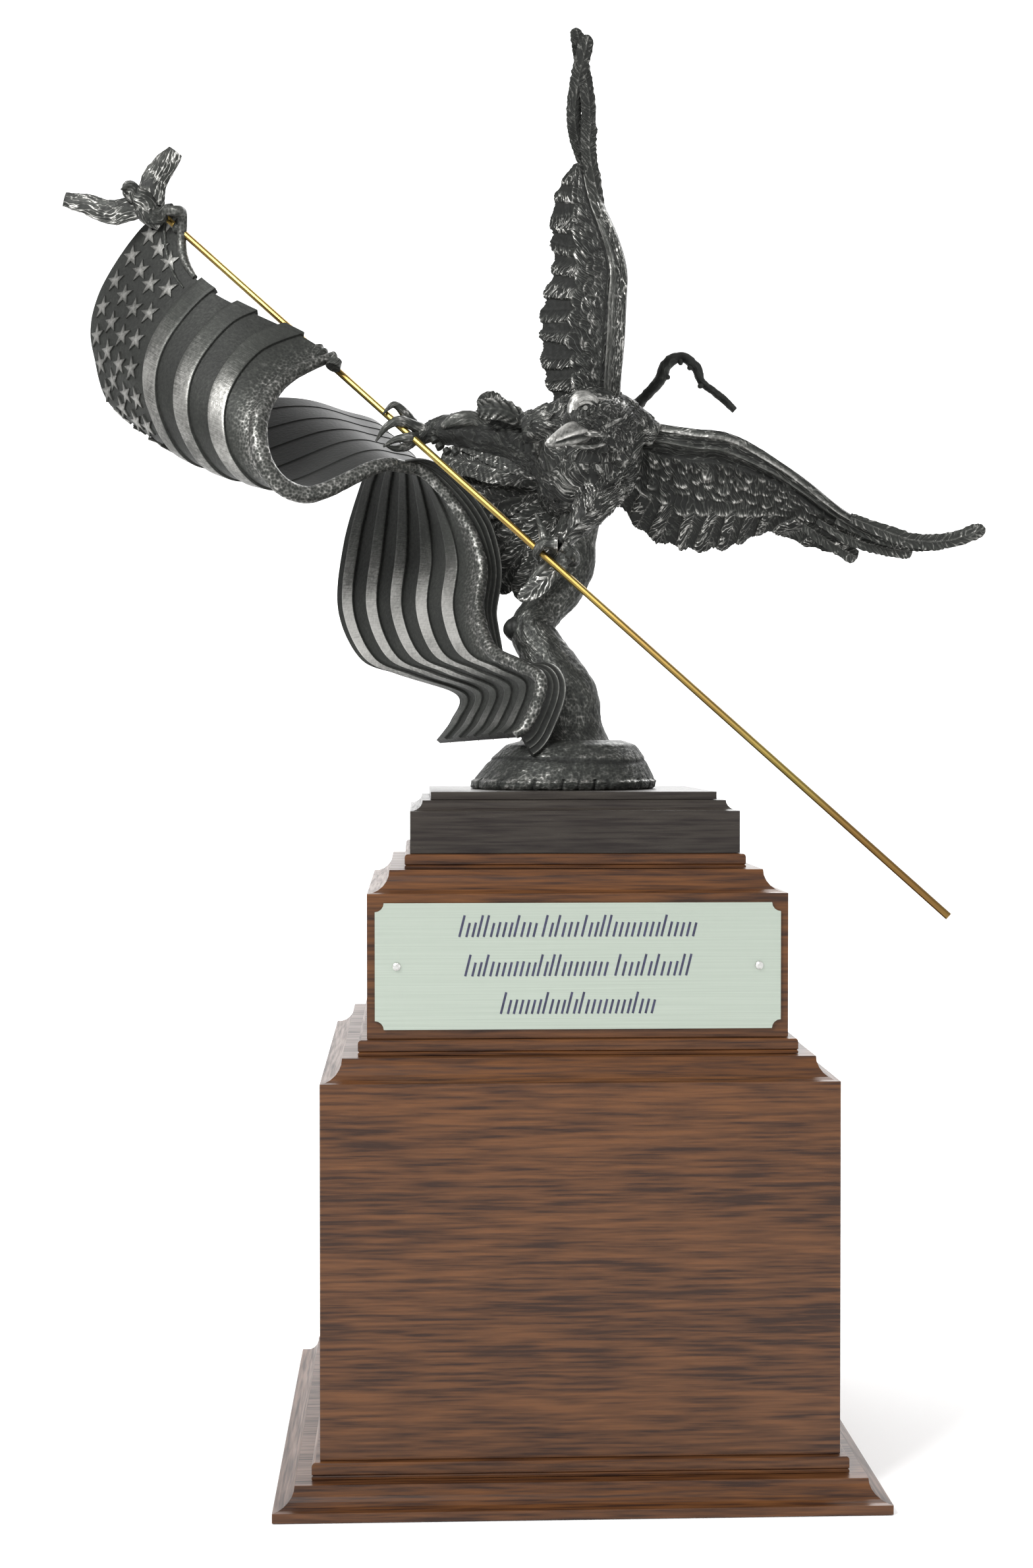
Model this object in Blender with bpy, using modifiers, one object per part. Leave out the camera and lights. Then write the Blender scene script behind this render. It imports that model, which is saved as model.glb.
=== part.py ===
"""Eagle trophy: a cast eagle swooping down with a draped flag on a brass pole, on a stepped walnut plinth.

Metres, +Z up, front towards -Y. The origin is the middle of the plinth's underside.
"""

import math

import bmesh
import bpy
from mathutils import Matrix, Vector

MM = 0.001
GAP = 0.3 * MM

# Plinth: widths are the sides of squares, heights are each board's own
BASE_WIDTH = 305 * MM
BASE_EDGE_HEIGHT = 4.6 * MM
BASE_HEIGHT = 15 * MM
BASE_COVE_WIDTH = 284 * MM

BASE_FILLET_WIDTH = 268 * MM
BASE_FILLET_HEIGHT = 8 * MM

LOWER_BOX_WIDTH = 260 * MM
LOWER_BOX_FACE_HEIGHT = 187 * MM
LOWER_BOX_HEIGHT = 198.4 * MM
LOWER_BOX_COVE_WIDTH = 238.5 * MM

MIDDLE_FILLET_WIDTH = 223 * MM
MIDDLE_FILLET_HEIGHT = 7.6 * MM

UPPER_BOX_WIDTH = 214 * MM
UPPER_BOX_FACE_HEIGHT = 73.2 * MM
UPPER_BOX_HEIGHT = 84.7 * MM
UPPER_BOX_COVE_WIDTH = 191.5 * MM

TOP_FILLET_WIDTH = 176 * MM
TOP_FILLET_HEIGHT = 7.3 * MM

TOP_BLOCK_WIDTH = 170.5 * MM
TOP_BLOCK_FACE_HEIGHT = 21.7 * MM
TOP_BLOCK_HEIGHT = 27.1 * MM
TOP_BLOCK_COVE_WIDTH = 157.5 * MM

TOP_BOARD_WIDTH = 149 * MM
TOP_BOARD_HEIGHT = 4 * MM

FILLET_BAND_SHARE = 0.22
FILLET_GROOVE = 0.6 * MM
FILLET_ROUND = 1.6 * MM
COVE_STEPS = 6

# Nameplate on the upper box's front, and its two screws
PLATE_WIDTH = 206 * MM
PLATE_HEIGHT = 64 * MM
PLATE_THICKNESS = 1.2 * MM
PLATE_NOTCH_RADIUS = 4.5 * MM
PLATE_NOTCH_STEPS = 4
SCREW_FROM_PLATE_END = 11 * MM
SCREW_HEAD_DIAMETER = 4.4 * MM
SCREW_HEAD_HEIGHT = 1.3 * MM
SCREW_SHANK_DIAMETER = 2.0 * MM
SCREW_LENGTH = 9 * MM
SCREW_CLEARANCE = 0.3 * MM

# Flagpole: a straight rod, high and far at its finial, low and near at its foot
POLE_DIAMETER = 4.0 * MM
POLE_TOP = Vector((-0.2303, 0.090, 0.6883))
POLE_FOOT = Vector((0.1932, -0.090, 0.2897))
POLE_CLEARANCE = 0.3 * MM

# Flag: its drop is measured across the stripes, from the near hem to the far edge
FLAG_DROP = 137 * MM
FLAG_THICKNESS = 3.0 * MM
FLAG_BAND_COUNT = 5
FLAG_BAND_WIDTH = 11 * MM
FLAG_FIRST_BAND = 27 * MM
FLAG_LAST_BAND_FROM_FAR_EDGE = 12 * MM
FLAG_BAND_RELIEF = 1.2 * MM
FLAG_BAND_STEP = 0.6 * MM
FLAG_ROWS = 29
CANTON_LENGTH_SHARE = 0.30
CANTON_DROP_SHARE = 0.62
HEM_RADII = (2.6, 4.4, 5.2, 5.2, 4.8, 4.0, 3.6, 3.4, 3.4, 3.4, 3.6, 3.8, 3.6, 3.4, 3.2, 2.4)
HEM_PAST_CORNER = 2.0 * MM
HOIST_BEAD_RADII = (1.6, 2.4, 2.8, 2.8, 2.8, 2.4)
RETURN_WIDTH = 15 * MM
RETURN_THICKNESS = 2.4 * MM
RETURN_SAG = 0.6 * MM
COLLAR_SHARE = 0.219
COLLAR_RADIUS = 5.2 * MM
COLLAR_LENGTH = 8 * MM
SLEEVE_SHARE = 0.022
SLEEVE_RADIUS = 5.2 * MM
SLEEVE_LENGTH = 10 * MM

# The free forms are laid out as seen from in front of the trophy at this eye point:
# each place is where it appears against the plane through the plinth's axis, and its depth
EYE = Vector((-0.0813, -1.2741, 0.3817))

WALNUT = (0.105, 0.052, 0.028)
WALNUT_DARK = (0.035, 0.026, 0.022)
PEWTER = (0.13, 0.13, 0.125)
STEEL = (0.6, 0.6, 0.58)
BRASS = (0.75, 0.58, 0.22)
BRUSHED = (0.72, 0.76, 0.72)


def seen(across, height, depth):
    """The point that appears at (across, height) on the axis plane and lies depth behind it, all in mm."""
    on_plane = Vector((across * MM, 0, height * MM))
    return EYE + (on_plane - EYE) * ((depth * MM - EYE.y) / -EYE.y)


def places(*spots):
    return [seen(*spot) for spot in spots]


def smooth_point(points, share):
    """The point at a share of the way through a smooth curve that passes through all the points."""
    reach = min(max(share, 0.0), 1.0) * (len(points) - 1)
    index = min(int(reach), len(points) - 2)
    part = reach - index
    near, far = points[index], points[index + 1]
    before = points[max(index - 1, 0)]
    after = points[min(index + 2, len(points) - 1)]
    slope_near = (far - before) * 0.5
    slope_far = (after - near) * 0.5
    square, cube = part * part, part * part * part
    return (
        near * (2 * cube - 3 * square + 1)
        + slope_near * (cube - 2 * square + part)
        + far * (3 * square - 2 * cube)
        + slope_far * (cube - square)
    )


def heading(points, share, step=0.01):
    """The curve's direction there."""
    return (smooth_point(points, share + step) - smooth_point(points, share - step)).normalized()


def collection_named(name):
    made = bpy.data.collections.new(name)
    bpy.context.scene.collection.children.link(made)
    return made


def material_named(name, colour, roughness, metallic):
    made = bpy.data.materials.new(name)
    made.use_nodes = True
    made.diffuse_color = (*colour, 1)
    shader = made.node_tree.nodes["Principled BSDF"]
    shader.inputs["Base Color"].default_value = (*colour, 1)
    shader.inputs["Roughness"].default_value = roughness
    shader.inputs["Metallic"].default_value = metallic
    return made


def object_from(name, mesh, collection, material=None):
    made = bpy.data.objects.new(name, mesh)
    collection.objects.link(made)
    if material is not None:
        mesh.materials.append(material)
    return made


def mesh_from(shape, name):
    bmesh.ops.recalc_face_normals(shape, faces=shape.faces)
    mesh = bpy.data.meshes.new(name)
    shape.to_mesh(mesh)
    shape.free()
    return mesh


def loft(rings, name="loft"):
    """A closed mesh through rings of points, each end closed by a fan round its middle."""
    shape = bmesh.new()
    rows = [[shape.verts.new(point) for point in ring] for ring in rings]
    for row, following in zip(rows, rows[1:]):
        for i in range(len(row)):
            j = (i + 1) % len(row)
            shape.faces.new((row[i], row[j], following[j], following[i]))
    for row in (rows[0], rows[-1]):
        middle = shape.verts.new(sum((vert.co for vert in row), Vector()) / len(row))
        for i in range(len(row)):
            shape.faces.new((row[i], row[(i + 1) % len(row)], middle))
    return mesh_from(shape, name)


def limb(stations, radii, sides=8, steps=8, flat=1.0, face=Vector((0, -1, 0)), spare=0.0):
    """A tapering limb through the stations: flat scales its thickness towards face, spare grows it all round."""
    sizes = [Vector((radius * MM, 0, 0)) for radius in radii]
    rings = []
    for i in range(steps + 1):
        share = i / steps
        middle = smooth_point(stations, share)
        radius = smooth_point(sizes, share).x + spare
        along = heading(stations, share)
        if i in (0, steps):
            middle = middle + along * (spare if i else -spare)
        front = (face - along * face.dot(along)).normalized()
        side = along.cross(front)
        turns = [2 * math.pi * k / sides for k in range(sides)]
        rings.append(
            [middle + side * radius * math.cos(a) + front * radius * flat * math.sin(a) for a in turns]
        )
    return loft(rings)


def blade(stations, width, thickness=1.6, steps=5, face=Vector((0, -1, 0))):
    """A feather: a flat blade with a raised midrib and a rounded tip, width and thickness in mm."""
    rings = []
    for i in range(steps + 1):
        share = i / steps
        middle = smooth_point(stations, share)
        along = heading(stations, share)
        front = (face - along * face.dot(along)).normalized()
        side = along.cross(front)
        spread = 0.5 * width * MM * min(1.0, 0.62 + 0.9 * share) * math.sqrt(max(1 - share**5, 0.05))
        rib = 0.5 * thickness * MM * (1.25 - 0.7 * share)
        outline = (side * spread, front * rib, -side * spread, -front * rib)
        rings.append([middle + corner for corner in outline])
    return loft(rings)


def fused(name, meshes, collection, material, cutters=()):
    """One closed body from overlapping meshes, less the cutters."""
    helpers = collection_named(name + " helpers")
    for mesh in meshes[1:]:
        object_from("piece", mesh, helpers)
    body = object_from(name, meshes[0], collection, material)
    if len(meshes) > 1:
        union = body.modifiers.new("Join", "BOOLEAN")
        union.operation = "UNION"
        union.operand_type = "COLLECTION"
        union.collection = helpers
        union.solver = "EXACT"
        union.use_self = True
    bpy.context.view_layer.update()
    whole = bpy.data.meshes.new_from_object(body.evaluated_get(bpy.context.evaluated_depsgraph_get()))
    body.modifiers.clear()
    body.data = whole
    for helper in list(helpers.objects):
        bpy.data.objects.remove(helper)
    bpy.data.collections.remove(helpers)
    for cutter in cutters:
        cut = body.modifiers.new("Clear " + cutter.name, "BOOLEAN")
        cut.operation = "DIFFERENCE"
        cut.object = cutter
        cut.solver = "EXACT"
    return body


def hide_as_cutter(cutter):
    cutter.hide_render = True
    cutter.display_type = "WIRE"
    return cutter


def cylinder_between(start, end, radius, sides=16):
    """A closed cylinder mesh from start to end."""
    shape = bmesh.new()
    length = (end - start).length
    bmesh.ops.create_cone(
        shape, cap_ends=True, segments=sides, radius1=radius, radius2=radius, depth=length
    )
    turn = (end - start).to_track_quat("Z", "Y").to_matrix().to_4x4()
    bmesh.ops.transform(shape, matrix=Matrix.Translation((start + end) / 2) @ turn, verts=shape.verts)
    return mesh_from(shape, "cylinder")


# Plinth


def turned_square(name, profile, floor, collection, material):
    """A square board or box: a half profile of (half width, height) from top to bottom, swept in four steps."""
    corner = math.sqrt(2)
    shape = bmesh.new()
    verts = [shape.verts.new((half * corner, 0, height)) for half, height in profile]
    for a, b in zip(verts, verts[1:]):
        shape.edges.new((a, b))
    mesh = bpy.data.meshes.new(name)
    shape.to_mesh(mesh)
    shape.free()
    made = object_from(name, mesh, collection, material)
    made.location.z = floor
    made.rotation_euler.z = math.radians(45)
    sweep = made.modifiers.new("Sweep", "SCREW")
    sweep.steps = sweep.render_steps = 4
    sweep.use_merge_vertices = True
    sweep.merge_threshold = 0.00001
    sweep.use_smooth_shade = False
    return made


def cove(outer, low, inner, high):
    """A hollow quarter round from the inner top edge down and out to the outer corner."""
    turns = [math.pi / 2 * k / COVE_STEPS for k in range(COVE_STEPS + 1)]
    return [(outer - (outer - inner) * math.cos(a), high - (high - low) * math.sin(a)) for a in turns]


def coved_profile(width, face_height, cove_width, height):
    edge = cove(width / 2, face_height, cove_width / 2, height)
    return [(0, height), *edge, (width / 2, 0), (0, 0)]


def fillet_profile(width, height):
    """A plain band below a scored line, and a thicker band with a rounded top edge."""
    half = width / 2
    line = height * FILLET_BAND_SHARE
    turns = [math.pi / 2 * k / 3 for k in range(4)]
    edge = [
        (half - FILLET_ROUND * (1 - math.sin(a)), height - FILLET_ROUND * (1 - math.cos(a))) for a in turns
    ]
    return [
        (0, height),
        *edge,
        (half, line + FILLET_GROOVE),
        (half - FILLET_GROOVE, line),
        (half, line - FILLET_GROOVE),
        (half, 0),
        (0, 0),
    ]


def make_plinth(collection, walnut, dark):
    """The eight boards and boxes, bottom to top. Returns the height of the top and of the upper box's floor."""
    tiers = (
        ("base_board", coved_profile(BASE_WIDTH, BASE_EDGE_HEIGHT, BASE_COVE_WIDTH, BASE_HEIGHT), walnut),
        ("base_fillet", fillet_profile(BASE_FILLET_WIDTH, BASE_FILLET_HEIGHT), walnut),
        (
            "lower_box",
            coved_profile(LOWER_BOX_WIDTH, LOWER_BOX_FACE_HEIGHT, LOWER_BOX_COVE_WIDTH, LOWER_BOX_HEIGHT),
            walnut,
        ),
        ("middle_fillet", fillet_profile(MIDDLE_FILLET_WIDTH, MIDDLE_FILLET_HEIGHT), walnut),
        (
            "upper_box",
            coved_profile(UPPER_BOX_WIDTH, UPPER_BOX_FACE_HEIGHT, UPPER_BOX_COVE_WIDTH, UPPER_BOX_HEIGHT),
            walnut,
        ),
        ("top_fillet", fillet_profile(TOP_FILLET_WIDTH, TOP_FILLET_HEIGHT), walnut),
        (
            "top_block",
            coved_profile(TOP_BLOCK_WIDTH, TOP_BLOCK_FACE_HEIGHT, TOP_BLOCK_COVE_WIDTH, TOP_BLOCK_HEIGHT),
            dark,
        ),
        (
            "top_board",
            [(0, TOP_BOARD_HEIGHT), (TOP_BOARD_WIDTH / 2, TOP_BOARD_HEIGHT), (TOP_BOARD_WIDTH / 2, 0), (0, 0)],
            dark,
        ),
    )
    floor = 0.0
    made = {}
    for name, profile, material in tiers:
        made[name] = turned_square(name, profile, floor, collection, material)
        floor += profile[0][1] + GAP
    return made, floor


# Nameplate and screws


def plate_outline():
    """The plate's outline: a rectangle with a hollow quarter circle at each corner."""
    outline = []
    for right, top in ((1, 1), (-1, 1), (-1, -1), (1, -1)):
        start = math.atan2(-top, -right) - math.pi / 4
        for k in range(PLATE_NOTCH_STEPS + 1):
            turn = start + math.pi / 2 * (PLATE_NOTCH_STEPS - k) / PLATE_NOTCH_STEPS
            outline.append(
                (
                    right * PLATE_WIDTH / 2 + PLATE_NOTCH_RADIUS * math.cos(turn),
                    top * PLATE_HEIGHT / 2 + PLATE_NOTCH_RADIUS * math.sin(turn),
                )
            )
    return outline


def add_outline(curve, points):
    spline = curve.splines.new("POLY")
    spline.points.add(len(points) - 1)
    for point, (x, y) in zip(spline.points, points):
        point.co = (x, y, 0, 1)
    spline.use_cyclic_u = True


def make_nameplate(collection, cutters, brushed, steel, upper_box):
    """The plate, its two screws, and the screws' bores in the plate and the box."""
    front = -UPPER_BOX_WIDTH / 2
    middle_height = upper_box.location.z + UPPER_BOX_FACE_HEIGHT / 2
    screw_place = PLATE_WIDTH / 2 - SCREW_FROM_PLATE_END
    bore = SCREW_SHANK_DIAMETER / 2 + SCREW_CLEARANCE
    curve = bpy.data.curves.new("nameplate", "CURVE")
    curve.dimensions = "2D"
    curve.fill_mode = "BOTH"
    curve.extrude = PLATE_THICKNESS / 2
    add_outline(curve, plate_outline())
    for side in (-1, 1):
        turns = [2 * math.pi * k / 12 for k in range(12)]
        add_outline(
            curve, [(side * screw_place + bore * math.cos(a), bore * math.sin(a)) for a in turns]
        )
    plate = object_from("nameplate", curve, collection, brushed)
    plate.location = (0, front - GAP - PLATE_THICKNESS / 2, middle_height)
    plate.rotation_euler.x = math.radians(90)

    face = front - GAP - PLATE_THICKNESS
    head_radius, shank_radius = SCREW_HEAD_DIAMETER / 2, SCREW_SHANK_DIAMETER / 2
    profile = (
        (0, GAP + SCREW_HEAD_HEIGHT),
        (head_radius * 0.55, GAP + SCREW_HEAD_HEIGHT * 0.93),
        (head_radius * 0.9, GAP + SCREW_HEAD_HEIGHT * 0.6),
        (head_radius, GAP),
        (shank_radius, GAP),
        (shank_radius, -SCREW_LENGTH),
        (0, -SCREW_LENGTH),
    )
    for side, name in ((-1, "nameplate_screw_left"), (1, "nameplate_screw_right")):
        across = side * screw_place
        shape = bmesh.new()
        verts = [shape.verts.new((radius, 0, height)) for radius, height in profile]
        for a, b in zip(verts, verts[1:]):
            shape.edges.new((a, b))
        mesh = bpy.data.meshes.new(name)
        shape.to_mesh(mesh)
        shape.free()
        screw = object_from(name, mesh, collection, steel)
        screw.location = (across, face, middle_height)
        screw.rotation_euler.x = math.radians(90)
        turn = screw.modifiers.new("Turn", "SCREW")
        turn.steps = turn.render_steps = 10
        turn.use_merge_vertices = True
        turn.merge_threshold = 0.00001
        hole = cylinder_between(
            Vector((across, front - GAP, middle_height)),
            Vector((across, face + SCREW_LENGTH + SCREW_CLEARANCE, middle_height)),
            bore,
            12,
        )
        cutter = hide_as_cutter(object_from("bore for " + name, hole, cutters))
        cut = upper_box.modifiers.new("Bore", "BOOLEAN")
        cut.operation = "DIFFERENCE"
        cut.object = cutter
        cut.solver = "EXACT"


# Pole


def make_pole(collection, brass):
    curve = bpy.data.curves.new("flagpole", "CURVE")
    curve.dimensions = "3D"
    curve.bevel_depth = POLE_DIAMETER / 2
    curve.bevel_resolution = 4
    curve.use_fill_caps = True
    spline = curve.splines.new("POLY")
    spline.points.add(1)
    spline.points[0].co = (*POLE_TOP, 1)
    spline.points[1].co = (*POLE_FOOT, 1)
    return object_from("flagpole", curve, collection, brass)


def pole_point(share):
    return POLE_TOP.lerp(POLE_FOOT, share)


# Mound, column and branch

COLUMN = places(
    (0, 377, 4), (0, 389, 4), (-1, 404, 4), (-6.5, 418, 6), (-13, 431, 10), (-18.5, 442, 15),
    (-12, 453, 22), (-2, 464, 27), (3, 476, 31), (5, 491, 34), (9, 504, 36), (11, 515, 36),
)
COLUMN_RADII = (27, 20.5, 19.5, 16, 13, 12, 11.5, 12, 13, 12, 10.5, 9)
BURL = places((-26, 438, 14), (-27, 445, 14))
BRANCH = places(
    (6, 504, 45), (16, 517, 66), (28, 530, 78), (34, 546, 80), (37, 562, 75), (42, 568, 68),
    (52, 579, 62), (56, 588, 60), (64, 592, 60), (72, 587, 60), (76, 578, 60), (84, 572, 60),
    (94, 563, 60),
)
BRANCH_RADII = (5, 4.6, 4.2, 4, 3.8, 3.2, 3.2, 3.2, 3.2, 3.0, 2.3, 2.6, 1.8)
MOUND_RINGS = (
    (0.0, 50.0), (1.2, 51.0), (4.2, 51.0), (5.2, 49.5),
    (15.5, 43.0), (17.5, 41.5), (24.0, 35.5), (26.5, 27.0),
)
MOUND_LEAN = 0.2
MOUND_DEPTH_SHARE = 0.92
MOUND_SIDES = 22


def column_limb(spare=0.0):
    return limb(COLUMN, COLUMN_RADII, sides=10, steps=14, spare=spare)


def branch_limb(spare=0.0):
    return limb(BRANCH, BRANCH_RADII, sides=6, steps=24, spare=spare)


def make_support(collection, pewter, floor):
    """The mound with its lip, the leaning column and the gnarled branch behind the eagle."""
    rings = []
    for height, radius in MOUND_RINGS:
        ring = []
        for k in range(MOUND_SIDES):
            turn = 2 * math.pi * k / MOUND_SIDES
            wave = 1 + 0.015 * math.sin(3 * turn + 0.6) + 0.02 * math.sin(5 * turn)
            reach = radius * MM * wave
            across = reach * math.cos(turn) + MOUND_LEAN * height * MM - 1.5 * MM
            ring.append(Vector((across, reach * MOUND_DEPTH_SHARE * math.sin(turn), floor + height * MM)))
        rings.append(ring)
    meshes = [
        loft(rings),
        column_limb(),
        limb(BURL, (7, 7.5), sides=6, steps=2),
        branch_limb(),
    ]
    return fused("mound_column_and_branch", meshes, collection, pewter)


# Eagle

BODY = places((21, 556, -6), (19, 549, 4), (14, 539, 16), (8, 529, 34), (2, 520, 52), (-5, 513, 66))
BODY_RADII = (17, 25, 29, 26, 19, 11)
HEAD = places((26, 551, 5), (23, 553, -8), (18, 556, -20), (14, 558, -30), (8, 556, -38), (4, 553, -43))
HEAD_RADII = (19, 17, 14.5, 12.5, 9.5, 5.5)
BEAK = places((8, 551.8, -38), (2, 550, -45.5), (-4.5, 547, -51), (-9.5, 543.6, -54))
BEAK_RADII = (6.4, 5.6, 4.0, 1.5)
LOWER_BEAK = places((10, 548, -34), (0, 546, -44), (-4, 544.5, -48))
LOWER_BEAK_RADII = (4.0, 2.6, 1.0)
SHOULDERS = places((-24, 552, 10), (-4, 557, 8), (18, 560, 4), (35, 557, 2), (50, 549, 0))
SHOULDER_RADII = (8, 11, 16, 11, 6)
NEAR_LEG = places((26, 530, 12), (19, 517.5, 4), (12, 506, 0), (6, 498, -2), (1, 493, -4), (-4, 489, -6))
NEAR_LEG_RADII = (16, 12.5, 9.2, 6.5, 4.8, 4.6)
FAR_LEG = places(
    (-6, 538, 30), (-25, 547, 31), (-41, 550, 32), (-57, 551.5, 33),
    (-69, 551, 34), (-75, 550, 35), (-81, 549, 35),
)
FAR_LEG_RADII = (17, 13.5, 11.5, 10, 7.5, 5.0, 6.2)
NEAR_TOES = (
    (places((-4, 490, -8), (-11, 492, -6), (-13, 498, -4), (-16.5, 506, -4)), (3.2, 2.6, 2.0, 0.6)),
    (places((-4, 489, -9), (-12, 489, -8), (-16, 484, -4), (-15, 480, 2)), (3.4, 2.8, 2.2, 0.7)),
    (places((-2, 488, -9), (4, 484, -8), (6, 479, -2), (2, 477, 3)), (3.2, 2.8, 2.2, 0.7)),
    (places((-4, 488, -4), (-8, 480, 4), (-16, 470, 3), (-25, 461, 0)), (3.6, 3.8, 3.6, 0.8)),
)
FAR_TOES = (
    (places((-80, 550, 36), (-87, 559, 36), (-94, 565, 33), (-100, 560, 30)), (3.4, 2.8, 2.0, 0.6)),
    (places((-78, 551, 33), (-90, 556, 28), (-98, 553, 27), (-104, 545, 29)), (3.4, 2.9, 2.1, 0.6)),
    (places((-79, 548, 35), (-86, 547, 27), (-93, 546, 26), (-100, 542, 28)), (3.4, 2.8, 2.0, 0.6)),
    (places((-80, 548, 36), (-86, 543, 38), (-93, 541, 36), (-99, 543, 32)), (3.2, 2.6, 1.9, 0.6)),
)

RAISED_LEAD = places(
    (30, 562, -4), (31, 580, -12), (33, 600, -17), (34, 622, -21),
    (34, 640, -22), (29, 658, -18), (19.5, 679, -10), (12.5, 701, -4),
)
RAISED_TRAIL = places(
    (-5, 560, 34), (-12, 580, 36), (-15, 600, 38), (-14, 620, 37),
    (-8, 640, 33), (-9, 660, 29), (-6, 680, 22), (4, 697, 10),
)
SPREAD_LEAD = places(
    (30, 560, 4), (50, 556, 0), (72, 553, -5), (90, 551, -9),
    (110, 541.5, -12), (132, 526.5, -12), (154, 509, -9), (172, 498.5, -5),
)
SPREAD_TRAIL = places(
    (24, 517, 26), (41, 495, 28), (60, 485, 28), (80, 483.5, 27),
    (97, 488, 25), (113, 494.5, 22), (132, 488, 16), (153, 483, 9),
)
WING_SHOWN = (
    (0.0, 0.8), (0.06, 2.7), (0.2, 3.0), (0.37, 2.6), (0.39, 1.7), (0.65, 1.6), (0.67, 0.9), (1.0, 0.7),
)
WING_HIDDEN = ((0.08, 2.7), (0.3, 2.6), (0.6, 1.5), (0.97, 0.6))
WING_ROW_START = 0.38
WING_FEATHERS = 11
WING_SHINGLE = 0.55
WING_SCALLOP = 0.07

RAISED_FINGERS = (
    (places((17, 684, -6), (8.5, 702, -3), (4.5, 722, 2), (7, 745, 4), (12.5, 768, 2)), 10),
    (places((17, 686, -4), (12.5, 706, 2), (12.5, 730, 6), (9, 752, 8), (5.5, 771.5, 8)), 10),
    (places((20, 668, -9), (15, 690, -8), (12.5, 706, -6), (13.5, 720, -6)), 10.5),
)
SPREAD_FINGERS = (
    (places((158, 504, -8), (176, 497, -6), (193, 491.5, -4), (213, 491.5, -4), (234, 498.5, -6)), 8.6),
    (places((150, 503, -4), (176, 493, -2), (194, 489.5, 0), (212, 490.5, 0)), 8.0),
    (places((140, 503, 0), (160, 492, 2), (178, 487, 2), (193, 485, 0)), 8.5),
    (places((132, 500, 6), (146, 491, 8), (162, 481.5, 8)), 9.0),
)
FINGER_TURN = Vector((0.1, -1, 0.35))

TAIL_ROOT = (2, 521, 56)
TAIL_TIPS = (
    (-46, 571, 78), (-61, 551, 80), (-68, 537, 80), (-67, 521, 80), (-63, 506, 78), (-57, 491, 76),
    (-49, 475, 72), (-39, 463, 68), (-24, 457, 62), (-8, 461, 58),
)
TAIL_WIDTH = 18
TAIL_FACE = Vector((0.25, -1, 0.1))


def wing(lead, trail, camber, relief_side):
    """A wing between its leading and trailing edges, its feathers as overlapping steps and scallops."""
    rings = []
    stops = [0.0]
    for feather in range(WING_FEATHERS):
        stops.append((feather + 0.10) / WING_FEATHERS)
        stops.append((feather + 0.94) / WING_FEATHERS)
    for number, share in enumerate(stops):
        front, back = smooth_point(lead, share), smooth_point(trail, share)
        chord = back - front
        outward = chord.cross(heading(lead, share)).normalized() * relief_side
        raised = WING_SHINGLE if number % 2 == 0 else -WING_SHINGLE
        reach = 1.0 if number % 2 == 0 else 1 - WING_SCALLOP
        ring = []
        for stop, half in WING_SHOWN:
            middle = front + chord * stop * (reach if stop == 1.0 else 1.0)
            middle += outward * camber * chord.length * math.sin(math.pi * stop)
            ring.append(middle + outward * (half + (raised if stop > WING_ROW_START else 0.0)) * MM)
        for stop, half in WING_HIDDEN[::-1]:
            middle = front + chord * stop * (reach if stop == WING_HIDDEN[-1][0] else 1.0)
            middle += outward * camber * chord.length * math.sin(math.pi * stop)
            ring.append(middle - outward * half * MM)
        rings.append(ring)
    return loft(rings)


def tail():
    root = seen(*TAIL_ROOT)
    meshes = []
    for number, tip in enumerate(TAIL_TIPS):
        end = seen(*tip)
        lift = Vector((0, 2.0 * MM * (number % 2), 0))
        middle = root.lerp(end, 0.55) + Vector((0, 5 * MM, 0)) + lift
        meshes.append(blade([root, middle, end + lift], TAIL_WIDTH, 2.4, steps=4, face=TAIL_FACE))
    return meshes


def make_eagle(collection, pewter, cutters):
    meshes = [
        limb(BODY, BODY_RADII, sides=12, steps=8),
        limb(HEAD, HEAD_RADII, sides=10, steps=7, face=Vector((0, 0, 1))),
        limb(BEAK, BEAK_RADII, sides=8, steps=6, flat=1.15, face=Vector((0, 0, 1))),
        limb(LOWER_BEAK, LOWER_BEAK_RADII, sides=6, steps=3, flat=0.5, face=Vector((0, 0, 1))),
        limb(SHOULDERS, SHOULDER_RADII, sides=8, steps=5),
        limb(NEAR_LEG, NEAR_LEG_RADII, sides=8, steps=6),
        limb(FAR_LEG, FAR_LEG_RADII, sides=8, steps=9),
        wing(RAISED_LEAD, RAISED_TRAIL, 0.07, 1),
        wing(SPREAD_LEAD, SPREAD_TRAIL, 0.07, -1),
    ]
    for stations, radii in NEAR_TOES + FAR_TOES:
        meshes.append(limb(stations, radii, sides=5, steps=4))
    for stations, width in RAISED_FINGERS:
        meshes.append(blade(stations, width, 2.6, steps=6, face=Vector((0.4, -1, 0))))
    for stations, width in SPREAD_FINGERS:
        meshes.append(blade(stations, width, 2.6, steps=6, face=FINGER_TURN))
    meshes += tail()
    return fused("eagle", meshes, collection, pewter, cutters)


# Flag

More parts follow.
